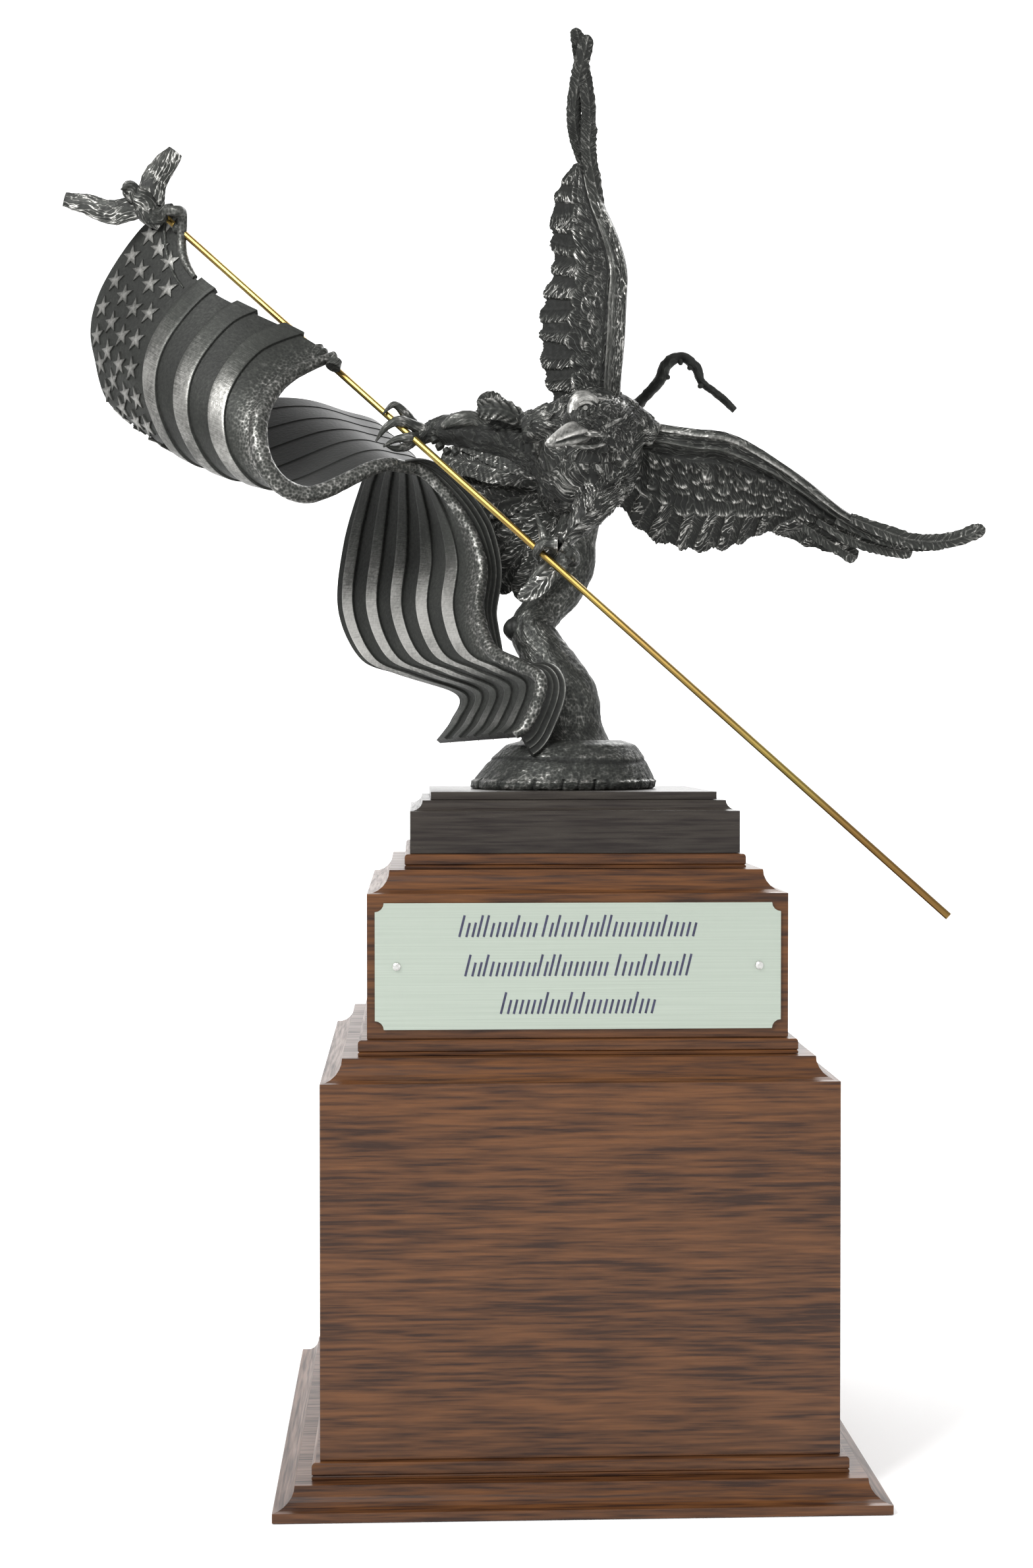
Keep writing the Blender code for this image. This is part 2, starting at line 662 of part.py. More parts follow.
HEM = places(
    (-128, 591, 47), (-155, 578, 30), (-168, 555, 12), (-163, 528.5, 5), (-141, 515.5, 10), (-104, 531, 25),
    (-89, 531, 35), (-75, 526, 42), (-56, 503, 40), (-46, 478, 30), (-48, 453, 15), (-41, 431, -5),
    (-25, 422, -22), (-13, 413, -35), (-20, 391, -37), (-26, 385, -38),
)
FAR_EDGE = places(
    (-210.5, 671.5, 81), (-231, 661, 103), (-255, 624, 118), (-258, 592, 115), (-238, 557, 110), (-158, 566, 125),
    (-122, 559, 135), (-102, 549.5, 140), (-113, 520, 140), (-122, 488, 130), (-125, 453, 115), (-113, 426, 95),
    (-92, 417, 70), (-60, 406, 50), (-63, 392, 46), (-71, 381, 45),
)
HOIST_SAG_SHARE = 0.065
HOIST_SAG_LEAN = 1.4
FIRST_PANEL_SWELL = 9 * MM
FIRST_FOLD_SWELL = 3 * MM
RETURN_START_SHARE = 0.38
RETURN_END_SHARE = 0.985
RETURN_ROWS = 14
RETURN_PINCH = 0.72
RETURN_PINCH_PLACE = 0.765
RETURN_PINCH_REACH = 0.05


def flag_middle(along, across):
    """A point of the draped sheet: along runs down its length, across from the near hem to the far edge."""
    sag = HOIST_SAG_SHARE * math.sin(math.pi * across**HOIST_SAG_LEAN)
    along = along + sag * (1 - along) ** 8
    near, far = smooth_point(HEM, along), smooth_point(FAR_EDGE, along)
    panel = FIRST_PANEL_SWELL * math.exp(-(((along - 0.18) / 0.12) ** 2))
    fold = FIRST_FOLD_SWELL * math.exp(-(((along - 0.27) / 0.05) ** 2))
    swell = (panel + fold) * math.sin(math.pi * across)
    inward = heading(HEM, along).cross(far - near).normalized()
    return near.lerp(far, across) - inward * swell


def flag_inward(along, across):
    """The direction from the striped face to the back of the sheet there."""
    step = 0.01
    down = flag_middle(min(along + step, 1.0), across) - flag_middle(max(along - step, 0.0), across)
    over = flag_middle(along, min(across + step, 1.0)) - flag_middle(along, max(across - step, 0.0))
    return down.cross(over).normalized()


def band_columns():
    """(share across, raised) for each column of the sheet: two at each edge of each band."""
    columns = [(0.0, False)]
    step = FLAG_BAND_STEP / FLAG_DROP / 2
    pitch = (FLAG_DROP - FLAG_FIRST_BAND - FLAG_LAST_BAND_FROM_FAR_EDGE) / (FLAG_BAND_COUNT - 1)
    for band in range(FLAG_BAND_COUNT):
        middle = (FLAG_FIRST_BAND + band * pitch) / FLAG_DROP
        half = FLAG_BAND_WIDTH / FLAG_DROP / 2
        columns += [
            (middle - half - step, False), (middle - half + step, True),
            (middle + half - step, True), (middle + half + step, False),
        ]
    return columns + [(1.0, False)]


def in_canton(along, across):
    return along < CANTON_LENGTH_SHARE and across > CANTON_DROP_SHARE


def grid_faces(shape, rows):
    for row, following in zip(rows, rows[1:]):
        for a, b, c, d in zip(row, row[1:], following[1:], following):
            shape.faces.new((a, b, c, d))


def ribbon(front_rows, back_rows):
    """A closed sheet between its front and its back, which have as many rows but not as many columns."""
    shape = bmesh.new()
    front = [[shape.verts.new(point) for point in row] for row in front_rows]
    back = [[shape.verts.new(point) for point in row] for row in back_rows]
    grid_faces(shape, front)
    grid_faces(shape, back)
    for side in (0, -1):
        grid_faces(shape, [[row[side] for row in front], [row[side] for row in back]])
    for end in (0, -1):
        shape.faces.new(front[end] + back[end][::-1])
    return mesh_from(shape, "ribbon")


def flag_sheet():
    columns = band_columns()
    plain = [columns[0], *columns[8::8], columns[-1]]
    front, back = [], []
    for i in range(FLAG_ROWS):
        along = i / (FLAG_ROWS - 1)
        row = []
        for across, raised in columns:
            relief = FLAG_BAND_RELIEF if raised and not in_canton(along, across) else 0.0
            row.append(flag_middle(along, across) - flag_inward(along, across) * relief)
        front.append(row)
        behind = [flag_inward(along, across) * FLAG_THICKNESS for across, raised in plain]
        back.append([flag_middle(along, across) + step for (across, raised), step in zip(plain, behind)])
    return ribbon(front, back)


def flag_return():
    """The hem turned back on itself behind the near edge, from the second fold to the end."""
    front, back = [], []
    for i in range(RETURN_ROWS):
        along = RETURN_START_SHARE + (RETURN_END_SHARE - RETURN_START_SHARE) * i / (RETURN_ROWS - 1)
        near = smooth_point(HEM, along)
        inward = flag_inward(along, 0.0)
        away = (smooth_point(FAR_EDGE, along) - near).normalized()
        pinch = RETURN_PINCH * math.exp(-(((along - RETURN_PINCH_PLACE) / RETURN_PINCH_REACH) ** 2))
        width = RETURN_WIDTH * min(1.0, 0.15 + 5 * (along - RETURN_START_SHARE)) * (1 - pinch)
        curl = [
            near + inward * width * share + away * RETURN_SAG * math.sin(math.pi * share)
            for share in (-0.05, 0.4, 0.75, 1.0)
        ]
        front.append([point - away * RETURN_THICKNESS / 2 for point in curl])
        back.append([point + away * RETURN_THICKNESS / 2 for point in curl])
    return ribbon(front, back)


def hoist_bead():
    """The rounded bead down the hoist edge beside the canton, from the finial's feet to the first band."""
    stops = [CANTON_DROP_SHARE + (0.99 - CANTON_DROP_SHARE) * k / 5 for k in range(6)]
    stations = [flag_middle(0.0, across) for across in stops]
    return limb(stations, HOIST_BEAD_RADII, sides=5, steps=6)


def cloth_round_pole(share, length, radius, shape_of_it):
    """A gathered band of cloth round the pole, its middle at that share of the pole's length."""
    half = length / 2 / (POLE_FOOT - POLE_TOP).length
    radii = [radius / MM * part for part in shape_of_it]
    return limb([pole_point(share - half), pole_point(share), pole_point(share + half)], radii, 8, 3)


def make_flag(collection, pewter, cutters):
    past_end = heading(HEM, 0) * HEM_PAST_CORNER, heading(HEM, 1) * HEM_PAST_CORNER
    hem = [HEM[0] - past_end[0], *HEM[1:-1], HEM[-1] + past_end[1]]
    meshes = [
        flag_sheet(),
        limb(hem, HEM_RADII, sides=6, steps=24),
        flag_return(),
        hoist_bead(),
        cloth_round_pole(COLLAR_SHARE, COLLAR_LENGTH, COLLAR_RADIUS, (0.8, 1.0, 0.75)),
        cloth_round_pole(SLEEVE_SHARE, SLEEVE_LENGTH, SLEEVE_RADIUS, (0.9, 1.0, 0.8)),
    ]
    return fused("flag", meshes, collection, pewter, cutters)


# Finial

FINIAL_BODY = places((-220, 662, 94), (-227.5, 669, 93), (-230, 674, 91), (-235, 679, 89))
FINIAL_BODY_RADII = (4.5, 7.2, 6.6, 4.5)
FINIAL_HEAD = places((-234.5, 676, 90), (-237.5, 681, 88), (-240, 683.5, 85))
FINIAL_HEAD_RADII = (4.2, 5.0, 2.6)
FINIAL_BEAK = places((-239.5, 682, 86), (-242.5, 681, 81))
FINIAL_NEAR_WING = places((-231, 673.5, 92), (-246.5, 669.5, 94), (-260.5, 672.5, 96), (-273.5, 675.5, 98))
FINIAL_NEAR_WING_RADII = (7.4, 7.0, 5.8, 4.2)
FINIAL_HIGH_WING = places((-227, 673, 92), (-225, 685, 94), (-218.5, 695, 96), (-213, 702, 97))
FINIAL_HIGH_WING_RADII = (8.4, 7.6, 6.6, 4.6)
FINIAL_WING_FLATNESS = 0.3


def finial_body_limb(spare=0.0):
    return limb(FINIAL_BODY, FINIAL_BODY_RADII, sides=8, steps=5, spare=spare)


def make_finial(collection, pewter, cutters):
    meshes = [
        finial_body_limb(),
        limb(FINIAL_HEAD, FINIAL_HEAD_RADII, sides=8, steps=4),
        limb(FINIAL_BEAK, (2.2, 0.5), sides=5, steps=2),
        limb(FINIAL_NEAR_WING, FINIAL_NEAR_WING_RADII, sides=6, steps=5, flat=FINIAL_WING_FLATNESS),
        limb(FINIAL_HIGH_WING, FINIAL_HIGH_WING_RADII, sides=6, steps=5, flat=FINIAL_WING_FLATNESS),
    ]
    return fused("finial_eagle", meshes, collection, pewter, cutters)


def main():
    for leftover in list(bpy.data.objects):
        bpy.data.objects.remove(leftover)
    trophy = collection_named("Eagle trophy")
    cutters = collection_named("Cutters")

    walnut = material_named("Walnut", WALNUT, 0.35, 0.0)
    dark = material_named("Dark walnut", WALNUT_DARK, 0.3, 0.0)
    pewter = material_named("Antiqued pewter", PEWTER, 0.45, 1.0)
    brass = material_named("Brass", BRASS, 0.25, 1.0)
    brushed = material_named("Brushed plate", BRUSHED, 0.35, 1.0)
    steel = material_named("Screw steel", STEEL, 0.3, 1.0)

    tiers, plinth_top = make_plinth(trophy, walnut, dark)
    make_nameplate(trophy, cutters, brushed, steel, tiers["upper_box"])
    make_pole(trophy, brass)

    down = (POLE_FOOT - POLE_TOP).normalized()
    start, end = POLE_TOP - down * POLE_CLEARANCE, POLE_FOOT + down * POLE_CLEARANCE
    room = cylinder_between(start, end, POLE_DIAMETER / 2 + POLE_CLEARANCE, 20)
    pole_room = hide_as_cutter(object_from("room for the pole", room, cutters))
    column_room = hide_as_cutter(object_from("room for the column", column_limb(1.2 * GAP), cutters))
    branch_room = hide_as_cutter(object_from("room for the branch", branch_limb(1.2 * GAP), cutters))
    make_support(trophy, pewter, plinth_top)
    make_eagle(trophy, pewter, [pole_room, column_room, branch_room])
    finial_room = hide_as_cutter(object_from("room for the finial", finial_body_limb(1.2 * GAP), cutters))
    make_flag(trophy, pewter, [pole_room, finial_room])
    make_finial(trophy, pewter, [pole_room])


main()
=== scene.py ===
"""Dresses the eagle trophy: feathers, flag relief, carved support, finishes, studio and camera.

Metres, +Z up, front towards -Y. Free forms are laid out as seen from in front of the trophy,
in millimetres on the plane through the plinth's axis, each with its depth behind that plane.
"""

import math
import random

import bmesh
import bpy
from mathutils import Matrix, Vector, kdtree, noise


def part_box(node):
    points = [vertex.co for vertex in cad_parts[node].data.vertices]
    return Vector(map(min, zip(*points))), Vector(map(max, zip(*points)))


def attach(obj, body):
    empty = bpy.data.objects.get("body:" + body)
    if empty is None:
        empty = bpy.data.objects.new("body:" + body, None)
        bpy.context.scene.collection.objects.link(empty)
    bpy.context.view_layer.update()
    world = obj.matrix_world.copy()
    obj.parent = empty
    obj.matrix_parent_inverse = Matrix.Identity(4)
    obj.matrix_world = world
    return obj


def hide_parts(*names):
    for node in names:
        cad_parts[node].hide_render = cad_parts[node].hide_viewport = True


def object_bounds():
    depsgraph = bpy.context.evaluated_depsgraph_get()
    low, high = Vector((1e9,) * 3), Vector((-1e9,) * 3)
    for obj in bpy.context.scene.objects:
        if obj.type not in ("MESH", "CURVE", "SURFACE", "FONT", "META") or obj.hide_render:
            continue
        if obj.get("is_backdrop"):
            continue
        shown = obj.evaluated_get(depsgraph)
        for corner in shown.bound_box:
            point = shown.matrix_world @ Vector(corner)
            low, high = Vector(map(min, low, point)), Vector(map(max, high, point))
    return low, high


bl_info = {
    "name": "Eagle trophy dressing",
    "version": (1, 0, 0),
    "blender": (4, 5, 0),
    "location": "View3D > Sidebar > Trophy",
    "description": "Adds the cast relief, finishes, studio and camera to the eagle trophy",
    "category": "Object",
}

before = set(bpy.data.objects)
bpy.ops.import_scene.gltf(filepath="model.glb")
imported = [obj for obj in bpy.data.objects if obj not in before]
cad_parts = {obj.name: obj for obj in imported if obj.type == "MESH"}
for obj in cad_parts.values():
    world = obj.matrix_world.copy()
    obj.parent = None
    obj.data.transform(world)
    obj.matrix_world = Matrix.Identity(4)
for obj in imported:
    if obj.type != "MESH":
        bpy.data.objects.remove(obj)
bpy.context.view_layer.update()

MM = 0.001
EYE = Vector((-0.0813, -1.2741, 0.3817))
FRONT = Vector((0, -1, 0))
UP = Vector((0, 0, 1))
LAYERS = ("rub", "pebble", "brush", "strand")
HEADING_STEP = 0.01
WELD = 0.002 * MM


# Curves and places


def seen(across, height, depth):
    """The point that appears at (across, height) on the axis plane and lies depth behind it, in mm."""
    on_plane = Vector((across * MM, 0, height * MM))
    return EYE + (on_plane - EYE) * ((depth * MM - EYE.y) / -EYE.y)


def places(*spots):
    return [seen(*spot) for spot in spots]


def smooth_point(points, share):
    """The point, or the number, at a share of the way through a smooth curve through all the points."""
    reach = clamp(share) * (len(points) - 1)
    index = min(int(reach), len(points) - 2)
    part = reach - index
    near, far = points[index], points[index + 1]
    before = points[max(index - 1, 0)]
    after = points[min(index + 2, len(points) - 1)]
    square, cube = part * part, part * part * part
    return (
        near * (2 * cube - 3 * square + 1)
        + (far - before) * (0.5 * (cube - 2 * square + part))
        + far * (3 * square - 2 * cube)
        + (after - near) * (0.5 * (cube - square))
    )


def heading(points, share):
    """The way the curve runs at a share of the way through it."""
    ahead = smooth_point(points, share + HEADING_STEP)
    return (ahead - smooth_point(points, share - HEADING_STEP)).normalized()


def curve_length(points, steps=24):
    stops = [smooth_point(points, i / steps) for i in range(steps + 1)]
    return sum((b - a).length for a, b in zip(stops, stops[1:]))


def bell(value, middle, reach):
    return math.exp(-(((value - middle) / reach) ** 2))


def clamp(value):
    return max(0.0, min(1.0, value))


def smooth_step(value):
    """0 up to 0, 1 from 1 on, and a smooth rise between."""
    value = clamp(value)
    return value * value * (3 - 2 * value)


# Mesh building


def add_layers(shape):
    for layer in LAYERS:
        shape.verts.layers.float.new(layer)
    shape.verts.layers.float_vector.new("flow")


def new_shape():
    """An empty mesh with what the cast finish reads: polish (which in places also carries painted highlights
    and shade), pebbling, brushing, strands and their run.
    """
    shape = bmesh.new()
    add_layers(shape)
    return shape


def float_layers(shape):
    return [shape.verts.layers.float[name] for name in LAYERS]


def merge_into(shape, part):
    """Moves a finished small bmesh into the piece."""
    mesh = bpy.data.meshes.new("part")
    part.to_mesh(mesh)
    part.free()
    shape.from_mesh(mesh)
    bpy.data.meshes.remove(mesh)


def sleeve(shape, rings):
    """Adds a closed skin through rings of points: a grid wrapped round, its seam welded, its ends filled.

    Each ring holds as many points as the others. A point is (place, polish, run, pebbling, strands).
    """
    part = new_shape()
    rub_layer, pebble_layer, _, strand_layer = float_layers(part)
    flow_layer = part.verts.layers.float_vector["flow"]
    columns, rows = len(rings[0]), len(rings) - 1
    for vert in bmesh.ops.create_grid(part, x_segments=columns, y_segments=rows, size=0.5)["verts"]:
        i = round((vert.co.x + 0.5) * columns) % columns
        j = round((vert.co.y + 0.5) * rows)
        vert.co, vert[rub_layer], vert[flow_layer], vert[pebble_layer], vert[strand_layer] = rings[j][i]
    bmesh.ops.remove_doubles(part, verts=part.verts, dist=WELD)
    rim = [edge for edge in part.edges if edge.is_boundary]
    bmesh.ops.holes_fill(part, edges=rim, sides=0)
    bmesh.ops.recalc_face_normals(part, faces=part.faces)
    merge_into(shape, part)


def limb_frames(stations, radii, rows, face=FRONT):
    """(middle, side, front, along, radius, length so far) at each row of a limb."""
    frames = []
    run = 0.0
    before = None
    for i in range(rows + 1):
        share = i / rows
        middle = smooth_point(stations, share)
        along = heading(stations, share)
        front = (face - along * face.dot(along)).normalized()
        run += (middle - before).length if before else 0.0
        before = middle
        frames.append((middle, along.cross(front), front, along, smooth_point(radii, share) * MM, run))
    return frames


def limb(shape, stations, radii, rub=(0.35, 0.5), relief=None, sides=24, rows=40, flat=1.0, face=FRONT,
         pebble=0.0, strand=0.0):
    """A tapering limb through stations.

    relief(turn, run, point) gives its height there in mm, and rub its polish where that is nothing and
    what each mm of it adds. flat is its thickness towards face as a share of its width.
    """
    rings = []
    base, gain = rub
    for middle, side, front, along, radius, run in limb_frames(stations, radii, rows, face):
        ring = []
        for k in range(sides):
            turn = 2 * math.pi * k / sides - math.pi / 2
            away = side * math.cos(turn) + front * flat * math.sin(turn)
            point = middle + away * radius
            high = relief(turn, run, point) if relief else 0.0
            flow = Vector((run / MM, turn * radius / MM, 0.0))
            ring.append((point + away * high * MM, clamp(base + gain * high), flow, pebble, strand))
        rings.append(ring)
    sleeve(shape, rings)


def strands(point, fine):
    """Rough modelled relief, from -1 to 1."""
    spot = point * (160 * fine)
    return 1 - 2.2 * abs(noise.noise(spot)) + 0.5 * noise.noise(spot * 2.7)


def rough(depth, fine):
    """A relief for limb: modelled strands, depth in mm."""
    return lambda turn, run, point: depth * strands(point, fine)


def grainy(depth, scale):
    """A relief for limb: even grain, depth in mm."""
    return lambda turn, run, point: depth * noise.noise(point * scale)


def linked(shape, name, material):
    """Makes the bmesh an object of the scene."""
    mesh = bpy.data.meshes.new(name)
    shape.to_mesh(mesh)
    shape.free()
    mesh.materials.append(material)
    made = bpy.data.objects.new(name, mesh)
    bpy.context.scene.collection.objects.link(made)
    return made


def finished(shape, name, material, smooth_angle):
    """Makes the bmesh a smoothly shaded piece that rides with the trophy, sharp past smooth_angle degrees."""
    piece = linked(shape, name, material)
    piece.data.shade_smooth()
    piece.data.set_sharp_from_angle(angle=math.radians(smooth_angle))
    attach(piece, "root")
    return piece


# Feathers


def feather(shape, stations, width, face, thick, columns, row_step, barb, pitch, bright, seed,
            root=0.6, tip=0.25, tilt=0.0, strand=0.8):
    """A flat blade with a quill, slanting barbs and a rounded, slightly torn tip. Sizes are in mm.

    root is its width there as a share of the whole, and tip the share of its length that rounds off.
    tilt lifts one edge and sinks the other, so that the next feather laps over it.
    """
    length = curve_length(stations, 12) / MM
    rows = max(5, int(length / row_step))
    rings = []
    for i in range(rows + 1):
        share = i / rows
        middle = smooth_point(stations, share)
        along = heading(stations, share)
        front = (face - along * face.dot(along)).normalized()
        side = along.cross(front)
        outline = min(1.0, root + 1.2 * share)
        if share > 1 - tip:
            outline *= math.sqrt(max(1 - ((share - 1 + tip) / tip) ** 2, 0.02))
        half = 0.5 * width * outline
        run = share * length
        ring = []
        for k in range(columns + 1):
            x = 2 * k / columns - 1
            torn = 1 + 0.13 * noise.noise(Vector((run * 0.5, x * 2, seed * 7.3)))
            waver = 2 * noise.noise(Vector((run * 0.3, seed, x)))
            ridge = math.sin(2 * math.pi * (run - abs(x) * half * 1.1) / pitch + waver)
            reach = min(1.0, abs(x) * 1.8)
            quill = max(0.0, 1 - abs(x) * 6)
            high = thick * 0.5 * (1 - 0.5 * x * x) + 0.35 * quill + barb * ridge * reach - tilt * x * outline
            point = middle + side * half * x * torn * MM + front * high * MM
            barbs = bright * 0.5 * (1 + ridge) * reach * (0.6 + 0.4 * abs(x))
            slant = abs(x) * half
            flow = Vector((0.7 * (slant + run), 0.7 * (run - slant), seed * 3.1 + (x > 0) * 5))
            ring.append((point, clamp(0.14 + barbs + 0.3 * quill), flow, 0.0, strand))
        for x in (0.5, -0.5):
            low = -0.5 * thick - tilt * x * outline
            point = middle + side * half * x * MM + front * low * MM
            ring.append((point, 0.1, Vector((run, x * half, seed)), 0.0, strand))
        rings.append(ring)
    sleeve(shape, rings)


# Eagle

BODY = places((21, 556, -6), (19, 549, 4), (14, 539, 16), (8, 529, 34), (2, 520, 52), (-5, 513, 66))
BODY_RADII = (17, 25, 29, 26, 19, 11)
HEAD = places((26, 551, 5), (23, 553, -8), (18, 556, -20), (14, 558, -30), (8, 556, -38), (4, 553, -43))
HEAD_RADII = (19, 17, 14.5, 12.5, 9.5, 5.5)
SHOULDERS = places((-24, 552, 10), (-4, 557, 8), (18, 560, 4), (35, 557, 2), (50, 549, 0))
SHOULDER_RADII = (8, 11, 16, 11, 6)
NEAR_LEG = places((26, 530, 12), (19, 517.5, 4), (12, 506, 0), (6, 498, -2), (1, 493, -4), (-4, 489, -6))
NEAR_LEG_RADII = (16, 12.5, 9.2, 6.5, 4.8, 4.6)
FAR_LEG = places(
    (-6, 538, 30), (-25, 547, 31), (-41, 550, 32), (-57, 551.5, 33), (-69, 551, 34),
    (-75, 550, 35), (-81, 549, 35),
)
FAR_LEG_RADII = (17, 13.5, 11.5, 10, 7.5, 5.0, 6.2)
BEAK = places((9, 551.5, -35), (3.5, 549.8, -44), (-3.2, 546.9, -50), (-8.4, 544.4, -53.5), (-10.4, 543, -54))
BEAK_RADII = (6.9, 6.2, 4.4, 2.4, 0.8)
LOWER_BEAK = places((12, 549.5, -34), (6, 547.6, -40), (1, 545.4, -45), (-3.5, 542.8, -48.5))
LOWER_BEAK_RADII = (3.6, 2.9, 2.1, 0.8)
NEAR_TOES = (
    (places((-4, 490, -8), (-11, 492, -6), (-13, 498, -4), (-16.5, 506, -4)), (3.2, 2.6, 2.0, 0.6)),
    (places((-4, 489, -9), (-12, 489, -8), (-16, 484, -4), (-15, 480, 2)), (3.4, 2.8, 2.2, 0.7)),
    (places((-2, 488, -9), (4, 484, -8), (6, 479, -2), (2, 477, 3)), (3.2, 2.8, 2.2, 0.7)),
    (places((-4, 488, -4), (-8, 480, 4), (-16, 470, 3), (-25, 461, 0)), (3.6, 3.8, 3.6, 0.8)),
)
FAR_TOES = (
    (places((-80, 550, 36), (-87, 559, 36), (-94, 565, 33), (-100, 560, 30)), (3.4, 2.8, 2.0, 0.6)),
    (places((-78, 551, 33), (-90, 556, 28), (-98, 553, 27), (-104, 545, 29)), (3.4, 2.9, 2.1, 0.6)),
    (places((-79, 548, 35), (-86, 547, 27), (-93, 546, 26), (-100, 542, 28)), (3.4, 2.8, 2.0, 0.6)),
    (places((-80, 548, 36), (-86, 543, 38), (-93, 541, 36), (-99, 543, 32)), (3.2, 2.6, 1.9, 0.6)),
)
RAISED_LEAD = places(
    (30, 562, -4), (31, 580, -12), (33, 600, -17), (34, 622, -21),
    (34, 640, -22), (29, 658, -18), (19.5, 679, -10), (12.5, 701, -4),
)
RAISED_TRAIL = places(
    (-5, 560, 34), (-12, 580, 36), (-15, 600, 38), (-14, 620, 37),
    (-8, 640, 33), (-9, 660, 29), (-6, 680, 22), (4, 697, 10),
)
SPREAD_LEAD = places(
    (30, 560, 4), (50, 556, 0), (72, 553, -5), (90, 551, -9),
    (110, 541.5, -12), (132, 526.5, -12), (154, 509, -9), (172, 498.5, -5),
)
SPREAD_TRAIL = places(
    (24, 517, 26), (41, 495, 28), (60, 485, 28), (80, 483.5, 27),
    (97, 488, 25), (113, 494.5, 22), (132, 488, 16), (153, 483, 9),
)
WING_CAMBER = 0.07
WING_FEATHERS = 11
WING_ROWS = 224
WING_COLUMNS = 84
WING_THICKNESS = (
    0.8, 2.4, 2.9, 2.9, 2.6, 1.8, 1.1, 0.8, 0.7, 0.6, 0.5, 0.45, 0.4, 0.35, 0.3, 0.25, 0.15,
)
# The points down a wing's back: share across, and mm behind the middle
WING_BACK = (
    (0.04, 1.9), (0.12, 2.6), (0.2, 2.6), (0.3, 2.3), (0.36, 1.9), (0.5, 1.4), (0.65, 1.1),
    (0.8, 0.8), (0.93, 0.6),
)
# Each row of coverts: where it ends, how many feathers, and mm thick
WING_COVERTS = ((0.31, 23, 1.4), (0.385, 19, 1.4), (0.46, 17, 1.5), (0.55, 14, 1.5), (0.65, 12, 1.4))
RAISED_FINGERS = (
    (places((17, 684, -6), (8.5, 702, -3), (4.5, 722, 2), (7, 745, 4), (12.5, 768, 2)), 10),
    (places((17, 686, -4), (12.5, 706, 2), (12.5, 730, 6), (9, 752, 8), (5.5, 771.5, 8)), 10),
    (places((20, 668, -9), (15, 690, -8), (12.5, 706, -6), (13.5, 720, -6)), 10.5),
)
SPREAD_FINGERS = (
    (places((158, 504, -8), (176, 497, -6), (193, 491.5, -4), (213, 491.5, -4), (233.8, 498.4, -6)), 8.6),
    (places((150, 503, -4), (176, 493, -2), (194, 489.5, 0), (212, 490.5, 0)), 8.0),
    (places((140, 503, 0), (160, 492, 2), (178, 487, 2), (193, 485, 0)), 8.5),
    (places((132, 500, 6), (146, 491, 8), (162, 481.5, 8)), 9.0),
)
# Each wing's first seed, its finger feathers and the way they face
FINGERS = (
    (0, RAISED_FINGERS, Vector((0.4, -1, 0))),
    (5, SPREAD_FINGERS, Vector((0.1, -1, 0.35))),
)
TAIL_ROOT = (2, 521, 56)
TAIL_TIPS = (
    (-46, 571, 78), (-61, 551, 80), (-68, 537, 80), (-67, 521, 80), (-63, 506, 78),
    (-57, 491, 76), (-49, 475, 72), (-39, 463, 68), (-24, 457, 62), (-8, 461, 58),
)
TAIL_WIDTH = 18
FUSED_LIMBS = (
    (BODY, BODY_RADII), (HEAD, HEAD_RADII), (SHOULDERS, SHOULDER_RADII), (NEAR_LEG, NEAR_LEG_RADII),
    (FAR_LEG, FAR_LEG_RADII),
)
HEAD_NUMBER = 1
# Length and width in mm, and strength, of the locks on each of the limbs above
LOCK_SIZES = ((10.0, 6.5), (7.0, 4.8), (9.0, 6.0), (9.0, 5.0), (12.0, 5.5))
LOCK_STRENGTH = (1.0, 1.0, 0.9, 1.0, 0.8)
# Middle and reach of the painted shadow on the body under the beak
THROAT_SHADOW_MIDDLE = seen(3, 540, -30)
THROAT_SHADOW_REACH = 0.013
CROWN = places(
    (17.5, 563.5, -35.5), (13.5, 568.2, -38), (8.5, 568.6, -39.5), (5.0, 563.8, -40.5), (4.4, 557.5, -42),
)
BROW = places((16.5, 564.5, -41), (12, 567, -43.2), (7.8, 565.4, -44.2))
SOCKET = places((11.6, 563.2, -39), (11.5, 563.1, -43.4))
EYEBALL = places((11.3, 563.9, -42.6), (11.2, 563.9, -45.0))
CHEEK = places((7.5, 551.2, -43), (13.5, 550.2, -42), (19.5, 549.8, -37), (25, 548.5, -29))
CHEEK_RAYS = (
    places((18, 552, -38), (24, 555, -36), (31, 558, -28)),
    places((15, 553, -41), (17.5, 557, -41), (20, 561, -38)),
    places((2, 543.4, -44), (12, 542.6, -38), (22, 544, -30)),
)
THIGH_MUSCLE = places((-38, 553.5, 24), (-50, 557.5, 22.5), (-60, 557, 23), (-68, 553.5, 25))
LEG_KNOBS = (((-70, 543.5, 27), 2.6), ((-66, 541, 26), 2.4), ((-61.5, 540.5, 25), 2.2), ((-73, 547, 27), 2.4))
BROAD_TOE = places((-6, 474, -6), (-12, 468, -8), (-19, 462.5, -8), (-26, 459, -6))
FOOT_BALL = places((1.5, 484, -9), (3.6, 482.6, -9.6))
THIGH_FEATHER = places((-22, 555.5, 16), (-35, 562.5, 14), (-48.5, 562, 14))


def fused_body(voxel):
    """The body, neck, shoulders and legs run together into one skin."""
    limbs = new_shape()
    for stations, radii in FUSED_LIMBS:
        limb(limbs, stations, radii, sides=20, rows=24)
    mesh = bpy.data.meshes.new("rough body")
    limbs.to_mesh(mesh)
    limbs.free()
    helper = bpy.data.objects.new("rough body", mesh)
    bpy.context.scene.collection.objects.link(helper)
    join = helper.modifiers.new("Run together", "REMESH")
    join.mode = "VOXEL"
    join.voxel_size = voxel
    soften = helper.modifiers.new("Soften", "SMOOTH")
    soften.iterations = 5
    soften.factor = 0.5
    bpy.context.view_layer.update()
    whole = bpy.data.meshes.new_from_object(helper.evaluated_get(bpy.context.evaluated_depsgraph_get()))
    bpy.data.objects.remove(helper)
    return whole


